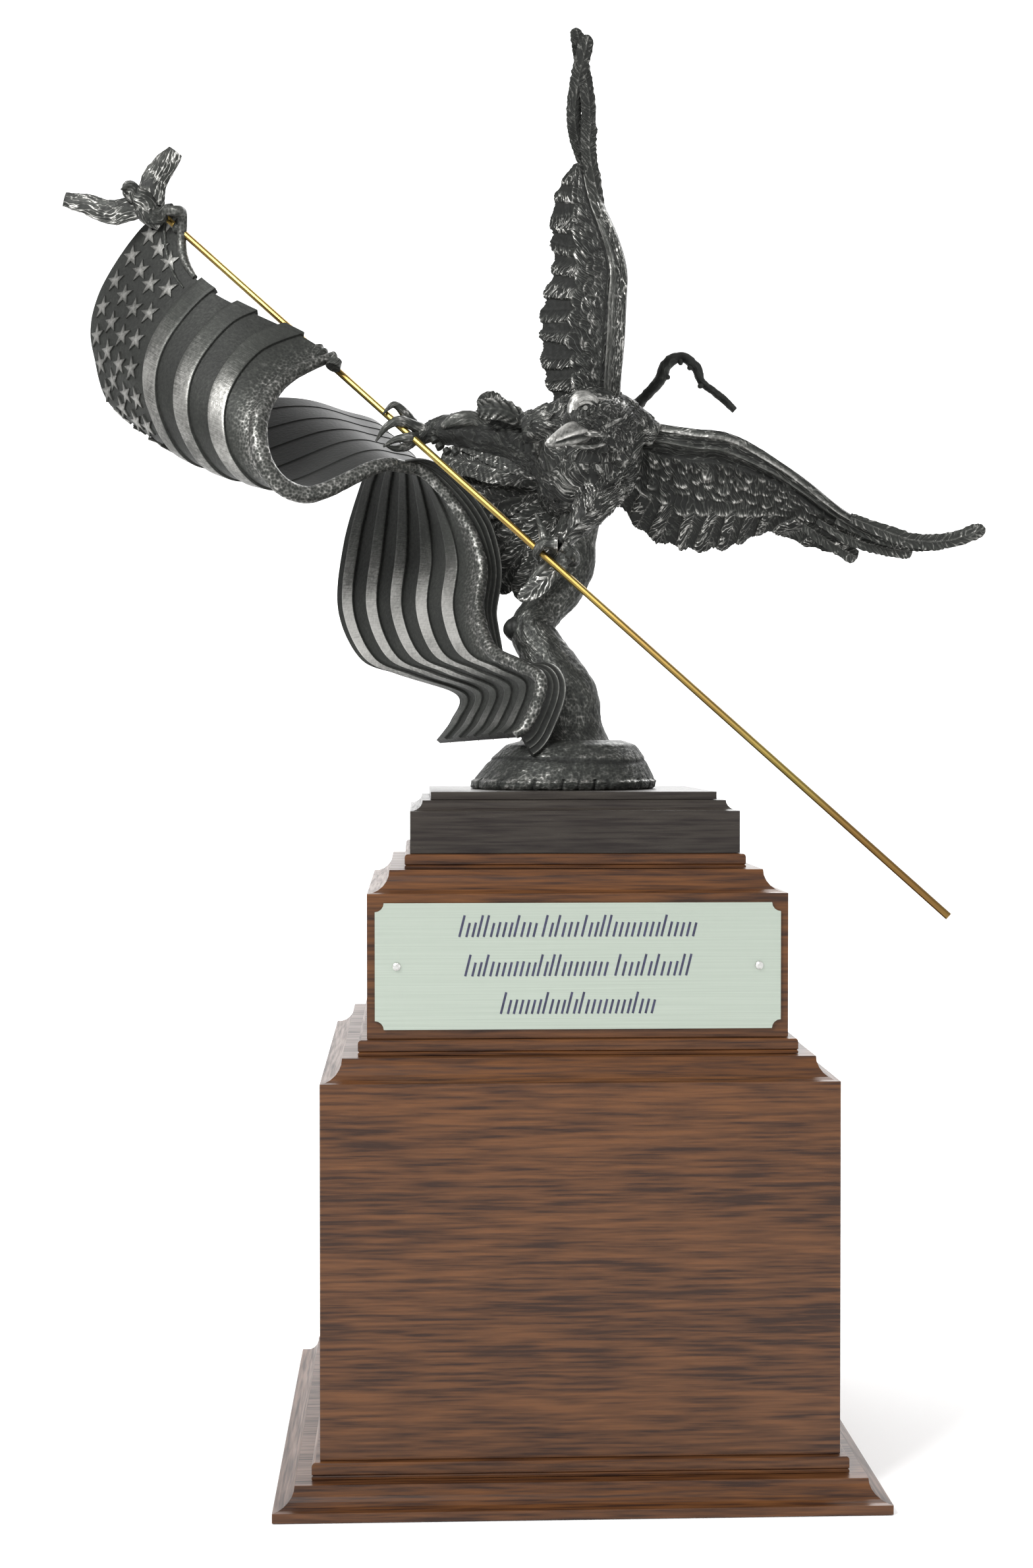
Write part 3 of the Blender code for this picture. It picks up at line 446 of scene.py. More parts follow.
def locks(down, over, length, width):
    """Height, from 0 to 1, of rows of pointed locks: each rises to its tip and drops to the next root."""
    row = math.floor(down / length)
    place = over / width + 0.5 * (row % 2)
    off_middle = abs(2 * (place - math.floor(place)) - 1)
    phase = down / length + 0.45 * off_middle
    part = phase - math.floor(phase)
    return part**1.4 * (1 - 0.35 * off_middle)


def body_guides():
    """A search tree of points along the limbs, with each one's frame, so that relief can run along them."""
    guides = []
    for number, (stations, radii) in enumerate(FUSED_LIMBS):
        for middle, side, front, along, radius, run in limb_frames(stations, radii, 40):
            guides.append((middle, side, front, along, radius, run, number))
    tree = kdtree.KDTree(len(guides))
    for index, guide in enumerate(guides):
        tree.insert(guide[0], index)
    tree.balance()
    return tree, guides


def add_fused_body(shape, sizes):
    """The body's skin, worked over with curling locks that lie back from the beak and run down the legs, with
    painted shade on its left flank and a painted shadow under the beak.
    """
    whole = fused_body(sizes.body_voxel)
    tree, guides = body_guides()
    part = bmesh.new()
    part.from_mesh(whole)
    bpy.data.meshes.remove(whole)
    add_layers(part)
    rub_layer, _, _, strand_layer = float_layers(part)
    flow_layer = part.verts.layers.float_vector["flow"]
    part.normal_update()
    moves = []
    for vert in part.verts:
        index = tree.find(vert.co)[1]
        middle, side, front, along, radius, run, number = guides[index]
        away = vert.co - middle
        down = (run + away.dot(along)) / MM
        over = math.atan2(away.dot(side), -away.dot(front)) * radius / MM
        bend = noise.noise(vert.co * 75 + Vector((number * 7, 0, 0)))
        twist = noise.noise(vert.co * 75 + Vector((0, number * 7, 9)))
        down_bent, over_bent = down + 3.2 * bend, over + 3.4 * twist
        if number == HEAD_NUMBER:
            down_bent = -down_bent
        lock = locks(down_bent, over_bent, *LOCK_SIZES[number])
        lines = 1 - 2.6 * abs(noise.noise(Vector((over_bent * 0.30, down_bent * 0.08, number * 9.0))))
        clump = noise.noise(vert.co * 60 + Vector((5, 5, 5)))
        strength = LOCK_STRENGTH[number]
        high = sizes.body_relief * (strength * (0.85 * lock - 0.35) + 0.45 * lines * strength + 0.5 * clump)
        moves.append((vert, vert.normal * high))
        # Painted light: the colour grows lighter from the body's left flank to its right, as painted shade on
        # that flank, in its polish and its strands.
        painted_light_side = smooth_step((vert.co.x + 0.045) / 0.05)
        # Painted shadow under the beak: the polish and the strands are darkened around the throat.
        throat_shadow = bell((vert.co - THROAT_SHADOW_MIDDLE).length, 0.0, THROAT_SHADOW_REACH)
        polish = -0.04 + 0.05 * painted_light_side + 0.26 * lock * strength + 0.10 * lines + 0.20 * clump - 0.5 * throat_shadow
        vert[rub_layer] = clamp(polish)
        vert[strand_layer] = clamp(0.25 + 0.25 * strength + 0.35 * painted_light_side - 0.8 * throat_shadow)
        vert[flow_layer] = Vector((down_bent, over_bent, number * 4.0))
    for vert, move in moves:
        vert.co += move
    bmesh.ops.recalc_face_normals(part, faces=part.faces)
    merge_into(shape, part)


def arm_relief(across, run, point, raised):
    """Long ridges down the wing's arm: (height in mm, polish, strands, pebbling)."""
    waver = 0.018 * noise.noise(point * 30)
    first = bell(across, (0.185 if raised else 0.05) + waver, 0.02)
    second = bell(across, (0.13 if raised else 0.15) + waver, 0.014)
    hollow = bell(across, 0.235 + waver, 0.035)
    fine = noise.noise(Vector((run * 0.06, across * 60, 3.0)))
    high = 1.5 * first + 1.2 * second - 1.5 * hollow + 0.6 * fine
    polish = 0.08 + 0.62 * first + 0.5 * second + 0.20 * fine - 0.3 * hollow
    pebbled = (1.0 if raised else 0.3) * smooth_step((0.11 - across) / 0.03)
    return high, polish + 0.08 * pebbled, clamp(0.7 - first - second), pebbled


def covert_relief(along, across, raised):
    """Overlapping rows of short curled feathers: (height in mm, polish, how much they cover)."""
    high, polish, covered = 0.0, 0.0, 0.0
    for row, (end, count, thick) in enumerate(WING_COVERTS):
        waver = 0.35 * noise.noise(Vector((along * count * 0.7, row * 5.0, 1.0)))
        place = along * count + 0.5 * (row % 2) + waver
        cell = math.floor(place)
        part = place - cell
        stray = noise.noise(Vector((cell * 3.7, row * 11.3, 0.5)))
        round_end = 1 - (2 * part - 1) ** 2
        tip = end + 0.08 * stray + 0.05 * round_end
        cover = smooth_step((tip - across) / 0.018)
        rise = clamp(1 - (tip - across) / 0.13)
        groove = bell(part, 0.0, 0.07) + bell(part, 1.0, 0.07)
        high += thick * cover * (0.30 + 0.75 * rise * (1 + stray) * round_end) - 0.35 * groove * rise * cover
        if cover > 0.5 and not covered:
            rim = bell(across, tip - 0.022, 0.02)
            polish = -0.02 + 0.58 * rim * round_end + 0.10 * rise + 0.12 * stray - 0.35 * groove
            covered = 1.0
    if raised:
        polish *= 0.9
    return high, polish, covered


def flight_relief(along, across, raised):
    """Long overlapping feathers with a quill: (height in mm, polish, strands, side of the quill)."""
    shear = 0.0 if raised else 0.9 * (across - 1)
    place = along * WING_FEATHERS + shear + 0.35 * noise.noise(Vector((along * 9, across * 2, 4.0)))
    part = place - math.floor(place)
    stray = noise.noise(Vector((math.floor(place) * 5.1, 2.0 if raised else 8.0, 0.0)))
    quill = bell(part, 0.5, 0.035)
    edge = bell(part, 0.05, 0.06)
    depth = 1.2 if raised else 1.7
    high = depth * (1 - part) ** 1.2 * smooth_step(part / 0.08) + 0.35 * quill + 0.5 * stray
    if raised:
        fringe = 0.12 + 0.88 * smooth_step(1.5 - 2.2 * part + 0.8 * stray)
        polish = 0.02 + 0.10 * fringe + 0.12 * edge
    else:
        fringe = 0.55 + 0.45 * smooth_step(1.3 - 1.6 * part)
        polish = 0.10 * fringe + 0.25 * edge + 0.22 * quill - 0.4 * bell(part, 0.96, 0.06)
    return high, polish, fringe, 1 if part > 0.5 else -1


def wing_place(lead, trail, relief_side, along, across):
    """A point on the wing's middle surface, and the way out of its shown face."""
    front, back = smooth_point(lead, along), smooth_point(trail, along)
    chord = back - front
    outward = chord.cross(heading(lead, along)).normalized() * relief_side
    bow = math.sin(math.pi * min(across, 1.0))
    point = front + chord * across + outward * WING_CAMBER * chord.length * bow
    return point, -outward


def add_wing(shape, lead, trail, relief_side):
    """A wing as one cast sheet: a ridged arm, rows of coverts, and flights with barbs and a torn edge.

    relief_side is 1 for the raised wing and -1 for the spread one.
    """
    raised = relief_side > 0
    span = curve_length(trail) / MM
    rings = []
    for i in range(WING_ROWS + 1):
        along = i / WING_ROWS
        run = along * span
        chord = (smooth_point(trail, along) - smooth_point(lead, along)).length / MM
        place = along * WING_FEATHERS + 0.35 * noise.noise(Vector((along * 9, 2.0, 4.0)))
        uneven = 0.4 * noise.noise(Vector((place * 0.8, relief_side, 0)))
        scallop = 0.5 - 0.5 * math.cos(2 * math.pi * (place - 0.35)) + uneven
        torn = 0.022 * noise.noise(Vector((run * 0.8, relief_side * 4.0, 0.0)))
        reach = 0.985 - 0.035 * scallop + torn
        ring = []
        for k in range(WING_COLUMNS + 1):
            across = k / WING_COLUMNS
            pulled_in = 1 - (1 - reach) * smooth_step((across - 0.7) / 0.3)
            point, outward = wing_place(lead, trail, relief_side, along, across * pulled_in)
            base = smooth_point(WING_THICKNESS, across)
            arm_high, arm_rub, arm_strand, pebbled = arm_relief(across, run, point, raised)
            cover_high, cover_rub, covered = covert_relief(along, across, raised)
            flight_high, flight_rub, flight_strand, way = flight_relief(along, across, raised)
            arm = smooth_step((0.27 - across) / 0.04)
            rest = 1 - arm
            edge_fade = 1.0 if raised else smooth_step((1 - across) / 0.03)
            feathers = 0.55 * cover_high + flight_high * (1 - 0.75 * covered) * edge_fade
            high = base + arm * arm_high + rest * feathers
            high += 0.25 * noise.noise(point * 420)
            rub = arm * arm_rub + rest * (covered * cover_rub + (1 - covered) * flight_rub)
            rub += 0.14 * noise.noise(point * 90)
            feather_strand = covered * 0.62 + (1 - covered) * flight_strand
            strand = clamp(arm * arm_strand + rest * feather_strand)
            deep = across * chord
            if arm > 0.5:
                flow = (run, deep * 1.3, 0.0)
            elif covered:
                flow = (0.8 * deep + 0.5 * run, 0.8 * run - 0.5 * deep, 9.0)
            elif raised:
                flow = (0.75 * (deep - run), 0.75 * (deep + run), 17.0)
            else:
                flow = (0.75 * (deep + way * run), 0.75 * (deep - way * run), 17.0 + 6 * way)
            ring.append((point + outward * high * MM, clamp(rub), Vector(flow), arm * pebbled, strand))
        for stop, half in WING_BACK[::-1]:
            across = stop * (reach if stop > 0.9 else 1.0)
            point, outward = wing_place(lead, trail, relief_side, along, across)
            place = along * WING_FEATHERS
            shelf = (place - math.floor(place)) * smooth_step((stop - 0.3) / 0.2)
            point -= outward * (half + 0.8 * shelf - 0.3 * (stop > 0.35)) * MM
            flow = Vector((0.75 * (stop * chord - run), 0.75 * (stop * chord + run), 30.0))
            ring.append((point, clamp(0.10 + 0.25 * shelf), flow, 0.0, 0.8))
        rings.append(ring)
    sleeve(shape, rings)


def add_head(shape):
    """The beak, the bald crown with its eye, and the ridge and rays of the cheek."""
    length = curve_length(BEAK)

    def horn(turn, run, point):
        shut = smooth_step((0.9 * length - run) / (3 * MM))
        lip = bell(turn, math.pi - 0.05, 0.16) * shut
        gape = bell(turn, math.pi + 0.35, 0.16) * shut
        crest = 0.5 * bell(turn, math.pi / 2 + 0.3, 0.3)
        return crest + 0.6 * lip - 1.2 * gape + 0.15 * strands(point, 2.2)

    limb(shape, BEAK, BEAK_RADII, (0.66, 0.6), horn, sides=44, rows=44, flat=0.95, face=UP, strand=0.1)
    limb(shape, LOWER_BEAK, LOWER_BEAK_RADII, (0.26, 0.0), sides=18, rows=16, flat=0.6, face=UP)
    limb(shape, CROWN, (2.6, 3.9, 4.3, 3.7, 2.4), (0.66, 0.5), rough(0.25, 1.3), sides=24, rows=36, flat=0.8,
         strand=0.15)
    limb(shape, BROW, (0.7, 1.1, 0.8), (0.8, 0.0), sides=10, rows=16)
    limb(shape, SOCKET, (3.5, 2.9), (0.0, 0.0), sides=18, rows=4)
    limb(shape, EYEBALL, (1.7, 1.2), (0.75, 0.0), sides=14, rows=4)
    limb(shape, CHEEK, (1.0, 1.9, 1.5, 0.4), (0.5, 0.5), rough(0.3, 1.6), sides=14, rows=26, strand=0.6)
    for ray in CHEEK_RAYS:
        limb(shape, ray, (0.5, 1.3, 0.5), (0.52, 0.5), rough(0.3, 1.6), sides=12, rows=20, strand=0.3)


def add_toe(shape, stations, radii):
    """A knuckled toe with faint rings, its claw smooth and worn at the tip."""
    length = curve_length(stations)

    def rings(turn, run, point):
        scaled = clamp(1.6 - 2.2 * run / length)
        knuckles = 0.35 * math.cos(2 * math.pi * run / length * 2.2)
        wrinkles = 0.12 * math.cos(run / MM * 3.6)
        return knuckles * scaled + wrinkles * scaled + 0.22 * strands(point, 1.5) * scaled

    limb(shape, stations, radii, (0.34, 0.6), rings, sides=14, rows=34, strand=0.35)


def add_leg_details(shape):
    """The smooth muscle along the far leg, the knobs below it, and the near foot's broad leaf-like toe."""
    limb(shape, THIGH_MUSCLE, (2.0, 4.2, 3.8, 1.6), (0.38, 0.5), rough(0.25, 1.0), sides=20, rows=30,
         flat=0.7, strand=0.25)
    for spot, radius in LEG_KNOBS:
        knob = places(spot, (spot[0] + 1.6, spot[1] - 2.2, spot[2] - 1.0))
        limb(shape, knob, (radius * 0.8, radius), (0.25, 0.0), sides=12, rows=8)
    feather(shape, BROAD_TOE, 10.5, Vector((0.1, -1, 0.3)), thick=2.4, columns=10, row_step=0.8, barb=0.3,
            pitch=4.0, bright=0.4, seed=2, root=0.5, tip=0.5)
    limb(shape, FOOT_BALL, (2.8, 2.6), (0.3, 0.0), sides=14, rows=10, strand=0.2)


def add_tail(shape):
    """The fanned tail feathers, and the single leaf-shaped feather above the thigh."""
    root = seen(*TAIL_ROOT)
    face = Vector((0.25, -1, 0.1))
    for number, tip in enumerate(TAIL_TIPS):
        end = seen(*tip)
        lift = Vector((0, 2.0 * MM * (number % 2), 0))
        middle = root.lerp(end, 0.55) + Vector((0, 5 * MM, 0)) + lift
        feather(shape, [root, middle, end + lift], TAIL_WIDTH, face, thick=1.8, columns=10, row_step=1.2,
                barb=0.4, pitch=3.0, bright=0.45, seed=number, root=0.45, tip=0.2, tilt=0.9, strand=0.6)
    feather(shape, THIGH_FEATHER, 12.5, Vector((0.1, -1, 0.2)), thick=2.0, columns=12, row_step=0.6,
            barb=0.75, pitch=4.2, bright=0.7, seed=3, strand=0.0)


def make_eagle(sizes, material):
    """The eagle as one casting."""
    shape = new_shape()
    add_fused_body(shape, sizes)
    add_wing(shape, RAISED_LEAD, RAISED_TRAIL, 1)
    add_wing(shape, SPREAD_LEAD, SPREAD_TRAIL, -1)
    add_head(shape)
    for stations, radii in NEAR_TOES + FAR_TOES:
        add_toe(shape, stations, radii)
    add_leg_details(shape)
    for first, fingers, face in FINGERS:
        for number, (stations, width) in enumerate(fingers, first):
            feather(shape, stations, width, face, thick=2.4, columns=10, row_step=0.9, barb=0.3, pitch=3.2,
                    bright=0.30, seed=number, tip=0.1, tilt=0.8, strand=0.5)
    add_tail(shape)
    return finished(shape, "eagle_cast", material, 50)


# Flag

HEM = places(
    (-128, 591, 47), (-155, 578, 30), (-168, 555, 12), (-163, 528.5, 5), (-141, 515.5, 10), (-104, 531, 25),
    (-89, 531, 35), (-75, 526, 42), (-56, 503, 40), (-46, 478, 30), (-48, 453, 15), (-41, 431, -5),
    (-25, 422, -22), (-13, 413, -35), (-20, 391, -37), (-26, 385, -38),
)
FAR_EDGE = places(
    (-210.5, 671.5, 81), (-231, 661, 103), (-255, 624, 118), (-258, 592, 115), (-238, 557, 110),
    (-158, 566, 125), (-122, 559, 135), (-102, 549.5, 140), (-113, 520, 140), (-122, 488, 130),
    (-125, 453, 115), (-113, 426, 95), (-92, 417, 70), (-60, 406, 50), (-63, 392, 46), (-71, 381, 45),
)
HEM_RADII = (2.6, 4.4, 5.2, 5.2, 4.8, 4.0, 3.6, 3.4, 3.4, 3.4, 3.6, 3.8, 3.6, 3.4, 3.2, 2.4)
FLAG_DROP = 137
BAND_OVERHANG = 2.8 * MM
BAND_EDGE_WIDTH = 0.25
NEAR_EDGE_RAISED = 0.85
FAR_EDGE_RAISED = 0.86
BACK_RIDGE = 0.45
HOIST_SAG_SHARE = 0.065
HOIST_SAG_LEAN = 1.4
FIRST_PANEL_SWELL = 9
FIRST_FOLD_SWELL = 3
CANTON_LENGTH_SHARE = 0.30
CANTON_DROP_SHARE = 0.62
RETURN_START_SHARE = 0.38
RETURN_END_SHARE = 0.985
POLE_TOP = Vector((-0.2303, 0.090, 0.6883))
POLE_FOOT = Vector((0.1932, -0.090, 0.2897))
FLAG_ROWS = 230
FLAG_LENGTH = 700
RETURN_ROWS = 200
STAR_ROWS = 4
FIRST_STAR_ROW = 0.675
STAR_ROW_SHARE = 0.088
STAR_NOTCH = 0.40
BEAD_TIP = places((-212.5, 669.5, 77), (-219, 669.5, 80))
KNOT = places((-126, 589, 40), (-127.5, 585, 38))


def band_polish_and_highlight(along):
    """How bright the bands are along the flag: an even polish, and painted highlights most within each panel
    and least at the folds.
    """
    first = 0.50 * bell(along, 0.16, 0.07) + 0.24 * bell(along, 0.27, 0.06)
    second = 0.70 * bell(along, 0.69, 0.085)
    return 0.28 + first + second + 0.2 * bell(along, 0.80, 0.05) + 0.25 * bell(along, 0.93, 0.04)


def flag_middle(along, across):
    """A point of the draped sheet: along runs down its length, across from the near hem to the far edge."""
    sag = HOIST_SAG_SHARE * math.sin(math.pi * max(across, 0.0) ** HOIST_SAG_LEAN)
    along = along + sag * (1 - along) ** 8
    near, far = smooth_point(HEM, along), smooth_point(FAR_EDGE, along)
    swell = FIRST_PANEL_SWELL * bell(along, 0.18, 0.12) + FIRST_FOLD_SWELL * bell(along, 0.27, 0.05)
    inward = heading(HEM, along).cross(far - near).normalized()
    return near.lerp(far, across) - inward * swell * math.sin(math.pi * clamp(across)) * MM


def flag_inward(along, across):
    """The way from the sheet's front face to its back."""
    step = 0.01
    down = flag_middle(min(along + step, 1.0), across) - flag_middle(max(along - step, 0.0), across)
    over = flag_middle(along, min(across + step, 1.0)) - flag_middle(along, max(across - step, 0.0))
    return down.cross(over).normalized()


def in_canton(along, across):
    return along < CANTON_LENGTH_SHARE and across > CANTON_DROP_SHARE


def flag_columns(sizes):
    """(share across, how far raised) for each column of points, close together at the bands' edges."""
    columns = []
    before = 0.0
    step = BAND_EDGE_WIDTH / FLAG_DROP
    for band in range(sizes.band_count):
        middle = (sizes.first_band / MM + band * sizes.band_pitch / MM) / FLAG_DROP
        half = sizes.band_width / MM / FLAG_DROP / 2
        low, high = middle - half, middle + half
        stretch = low - step - before
        columns += [(before + stretch * k / 6, 0.0) for k in range(6)]
        columns += [(low - step, 0.0), (low, NEAR_EDGE_RAISED), (low + 2 * step, 1.0)]
        columns += [(low + (high - low) * k / 5, 1.0) for k in range(1, 5)]
        columns += [(high - 2 * step, 1.0), (high, FAR_EDGE_RAISED), (high + step, 0.0)]
        before = high + 2 * step
    columns += [(before + (1 - before) * k / 5, 0.0) for k in range(6)]
    return columns


def add_flag_sheet(shape, sizes):
    """The sheet's two faces: raised bands in front, and behind them the thin steps of their edges."""
    columns = flag_columns(sizes)
    part = new_shape()
    rub_layer, pebble_layer, brush_layer, _ = float_layers(part)
    flow_layer = part.verts.layers.float_vector["flow"]
    last = len(columns) - 1
    for back in (False, True):
        for vert in bmesh.ops.create_grid(part, x_segments=last, y_segments=FLAG_ROWS, size=0.5)["verts"]:
            across, raised = columns[round((vert.co.x + 0.5) * last)]
            along = vert.co.y + 0.5
            inward = flag_inward(along, across)
            canton = in_canton(along, across)
            point = flag_middle(along, across)
            if along < 0.001 and raised and across < CANTON_DROP_SHARE:
                point += (point - flag_middle(0.01, across)).normalized() * BAND_OVERHANG
            if back:
                ridge = BACK_RIDGE if raised == NEAR_EDGE_RAISED and across > 0.1 else 0.0
                vert.co = point + inward * (sizes.flag_thickness + ridge * MM)
                # Painted shade: the back, seen inside the folds, is kept near black, a little lighter on the
                # ridges behind the bands' edges.
                vert[rub_layer] = 0.12 * ridge
            else:
                shown = raised == 1.0 and not canton
                wave = 0.25 * noise.noise(point * 180)
                high = 0.0 if canton else raised * sizes.band_relief
                vert.co = point - inward * (high + wave * 0.3 * MM)
                worn = 0.5 * noise.noise(point * 70)
                # The ground has a faint painted highlight on the first panel, uneven with wear; the hem's own
                # polish gets painted highlights on both panels.
                ground_and_highlight = 0.20 + 0.10 * bell(along, 0.20, 0.06) * (0.5 + worn)
                hem = bell(across, 0.0, 0.10)
                hem_polish_and_highlight = 0.16 + 0.22 * bell(along, 0.20, 0.09) + 0.2 * bell(along, 0.70, 0.12)
                polish = band_polish_and_highlight(along) * (1 + 0.3 * worn) if shown else ground_and_highlight + hem_polish_and_highlight * hem
                vert[rub_layer] = clamp(polish)
                vert[pebble_layer] = 0.9 * hem + (0.0 if shown else 0.25)
                vert[brush_layer] = 1.0 if shown else 0.0
            vert[flow_layer] = Vector((across * FLAG_DROP, along * FLAG_LENGTH, 0.0))
    bmesh.ops.bridge_loops(part, edges=[edge for edge in part.edges if edge.is_boundary])
    bmesh.ops.recalc_face_normals(part, faces=part.faces)
    merge_into(shape, part)


def add_star(shape, along, across, sizes):
    """A raised five-pointed star with creased arms, its point up."""
    centre = flag_middle(along, across)
    out = -flag_inward(along, across)
    up = (UP - out * UP.dot(out)).normalized()
    side = up.cross(out)
    part = new_shape()
    rub_layer = part.verts.layers.float["rub"]
    reach = sizes.star_width / 2
    ring = bmesh.ops.create_circle(part, cap_ends=True, cap_tris=True, segments=10, radius=1.0)["verts"]
    for vert in ring:
        turn = math.atan2(vert.co.y, vert.co.x)
        number = round((turn - math.pi / 2) / (math.pi / 5))
        middle = vert.co.length < 0.5
        size = 0.0 if middle else (reach if number % 2 == 0 else reach * STAR_NOTCH)
        angle = math.pi / 2 + number * math.pi / 5
        vert[rub_layer] = 0.82 if middle else 0.62
        flat = side * math.cos(angle) * size + up * math.sin(angle) * size
        vert.co = centre + flat + out * sizes.star_relief * (1.5 if middle else 0.85)
    rim = [edge for edge in part.edges if edge.is_boundary]
    skirt = bmesh.ops.extrude_edge_only(part, edges=rim)["geom"]
    for vert in skirt:
        if isinstance(vert, bmesh.types.BMVert):
            vert.co = centre + (vert.co - centre) * 1.04 - out * (sizes.star_relief * 1.9)
            vert[rub_layer] = 0.05
    bmesh.ops.holes_fill(part, edges=[edge for edge in part.edges if edge.is_boundary], sides=0)
    bmesh.ops.recalc_face_normals(part, faces=part.faces)
    merge_into(shape, part)


def add_stars(shape, sizes):
    """Staggered rows of stars, evenly apart along the sheet."""
    for row in range(STAR_ROWS):
        across = FIRST_STAR_ROW + STAR_ROW_SHARE * row
        reach = sizes.star_pitch * (0.55 if row % 2 else 1.0)
        along, before = 0.0, flag_middle(0.0, across)
        run = 0.0
        while along < CANTON_LENGTH_SHARE - 0.012:
            along += 0.001
            point = flag_middle(along, across)
            run += (point - before).length
            before = point
            if run >= reach:
                add_star(shape, along, across, sizes)
                run = 0.0
                reach = sizes.star_pitch


def add_hem(shape):
    """The rolled near edge, and the bead and groove down the hoist edge beside the stars."""
    past = 2.0 * MM

    def rolled(turn, run, point):
        return 0.14 * noise.noise(point * 700) + 0.2 * noise.noise(point * 200)

    hem = [HEM[0] - heading(HEM, 0) * past, *HEM[1:-1], HEM[-1] + heading(HEM, 1) * past]
    limb(shape, hem, HEM_RADII, (0.44, 0.7), rolled, sides=24, rows=330, pebble=0.9)
    stops = [CANTON_DROP_SHARE + (0.97 - CANTON_DROP_SHARE) * k / 5 for k in range(6)]
    bead = [flag_middle(0.0, across) for across in stops] + BEAD_TIP
    limb(shape, bead, (1.6, 2.4, 2.8, 2.8, 2.9, 3.1, 3.3, 2.4), (0.42, 0.5), grainy(0.2, 300), sides=18,
         rows=80, pebble=0.5)
    groove = [flag_middle(0.032, across) for across in stops]
    limb(shape, groove, (0.5, 1.0, 1.2, 1.2, 1.1, 0.6), (0.34, 0.0), grainy(0.2, 300), sides=10, rows=50,
         pebble=0.5)


def add_return(shape, sizes):
    """The hem turned back on itself behind the near edge, with thin ridges along it."""
    rings = []
    for i in range(RETURN_ROWS + 1):
        along = RETURN_START_SHARE + (RETURN_END_SHARE - RETURN_START_SHARE) * i / RETURN_ROWS
        near = smooth_point(HEM, along)
        inward = flag_inward(along, 0.0)
        away = (smooth_point(FAR_EDGE, along) - near).normalized()
        pinch = 0.72 * bell(along, 0.765, 0.05)
        width = sizes.return_width * min(1.0, 0.15 + 5 * (along - RETURN_START_SHARE)) * (1 - pinch)
        ring = []
        for face in (-1, 1):
            stops = [k / 16 for k in range(17)]
            for share in stops if face < 0 else stops[::-4]:
                ridge = sum(bell(share, place, 0.035) for place in (0.42, 0.68, 0.94))
                point = near + inward * width * share + away * 0.6 * MM * math.sin(math.pi * share)
                point += away * (face * 1.2 - 0.7 * ridge * (face < 0)) * MM
                rub = clamp(0.14 + 0.5 * ridge) if face < 0 else 0.1
                ring.append((point, rub, Vector(), 0.0, 0.0))
        rings.append(ring)
    sleeve(shape, rings)


def add_collar(shape, middle_share, length, radius, profile):
    """A band of cloth gathered round the pole, its radius times profile from end to end."""
    half = length / 2 * MM / (POLE_FOOT - POLE_TOP).length
    shares = [middle_share + half * (k / 2 - 1) for k in range(5)]
    stations = [POLE_TOP.lerp(POLE_FOOT, share) for share in shares]
    limb(shape, stations, [radius * part for part in profile], (0.2, 0.5), rough(0.3, 1.3), sides=28, rows=26,
         strand=0.3)


def make_flag(sizes, material):
    """The flag as one casting, with the cloth gathered round the pole in two places."""
    shape = new_shape()
    add_flag_sheet(shape, sizes)
    add_stars(shape, sizes)
    add_hem(shape)
    add_return(shape, sizes)
    add_collar(shape, 0.219, 8, 5.2, (0.70, 1.0, 0.82, 0.98, 0.66))
    limb(shape, KNOT, (3.6, 4.2), (0.34, 0.5), rough(0.3, 1.3), sides=18, rows=14, strand=0.3)
    add_collar(shape, 0.0235, 8.5, 3.6, (0.2, 0.75, 0.95, 0.75, 0.2))
    return finished(shape, "flag_cast", material, 35)


# Mound, column and branch

COLUMN = places(
    (0, 377, 4), (0, 389, 4), (-1, 404, 4), (-6.5, 418, 6), (-13, 431, 10), (-18.5, 442, 15),
    (-12, 453, 22), (-2, 464, 27), (3, 476, 31), (5, 491, 34), (9, 504, 36), (11, 515, 36),
)
COLUMN_RADII = (27, 20.5, 19.5, 16, 13, 12, 11.5, 12, 13, 12, 10.5, 9)
BRANCH = places(
    (6, 504, 45), (16, 517, 66), (28, 530, 78), (34, 546, 80), (37, 562, 75), (42, 568, 68),
    (52, 579, 62), (56, 588, 60), (64, 592, 60), (72, 587, 60), (76, 578, 60), (84, 572, 60), (94, 563, 60),
)
BRANCH_RADII = (5, 4.6, 4.2, 4, 3.8, 3.2, 3.2, 3.2, 3.2, 3.0, 2.3, 2.6, 1.8)
# Height and radius in mm
MOUND_RINGS = (
    (0.0, 50.0), (1.2, 51.0), (4.2, 51.0), (5.2, 49.5), (15.5, 43.0), (17.5, 41.5), (24.0, 35.5),
    (26.5, 27.0),
)
MOUND_HEIGHTS = [0.0, 1.0, 2.2, 3.4, 4.2, 4.8, 5.2, 5.8, *(6.5 + 0.75 * k for k in range(27)), 26.5]
MOUND_SIDES = 300
MOUND_LEAN = 0.2
MOUND_DEPTH_SHARE = 0.92
MOUND_SHIFT = 1.5
LIP_HEIGHT = 5.2
LIP_NICKS = 30
BURL = places((-24.5, 436, 14), (-26, 440, 14), (-26.5, 444, 14), (-26, 448.5, 15))
STUB_SHARES = (0.52, 0.66, 0.74, 0.84)


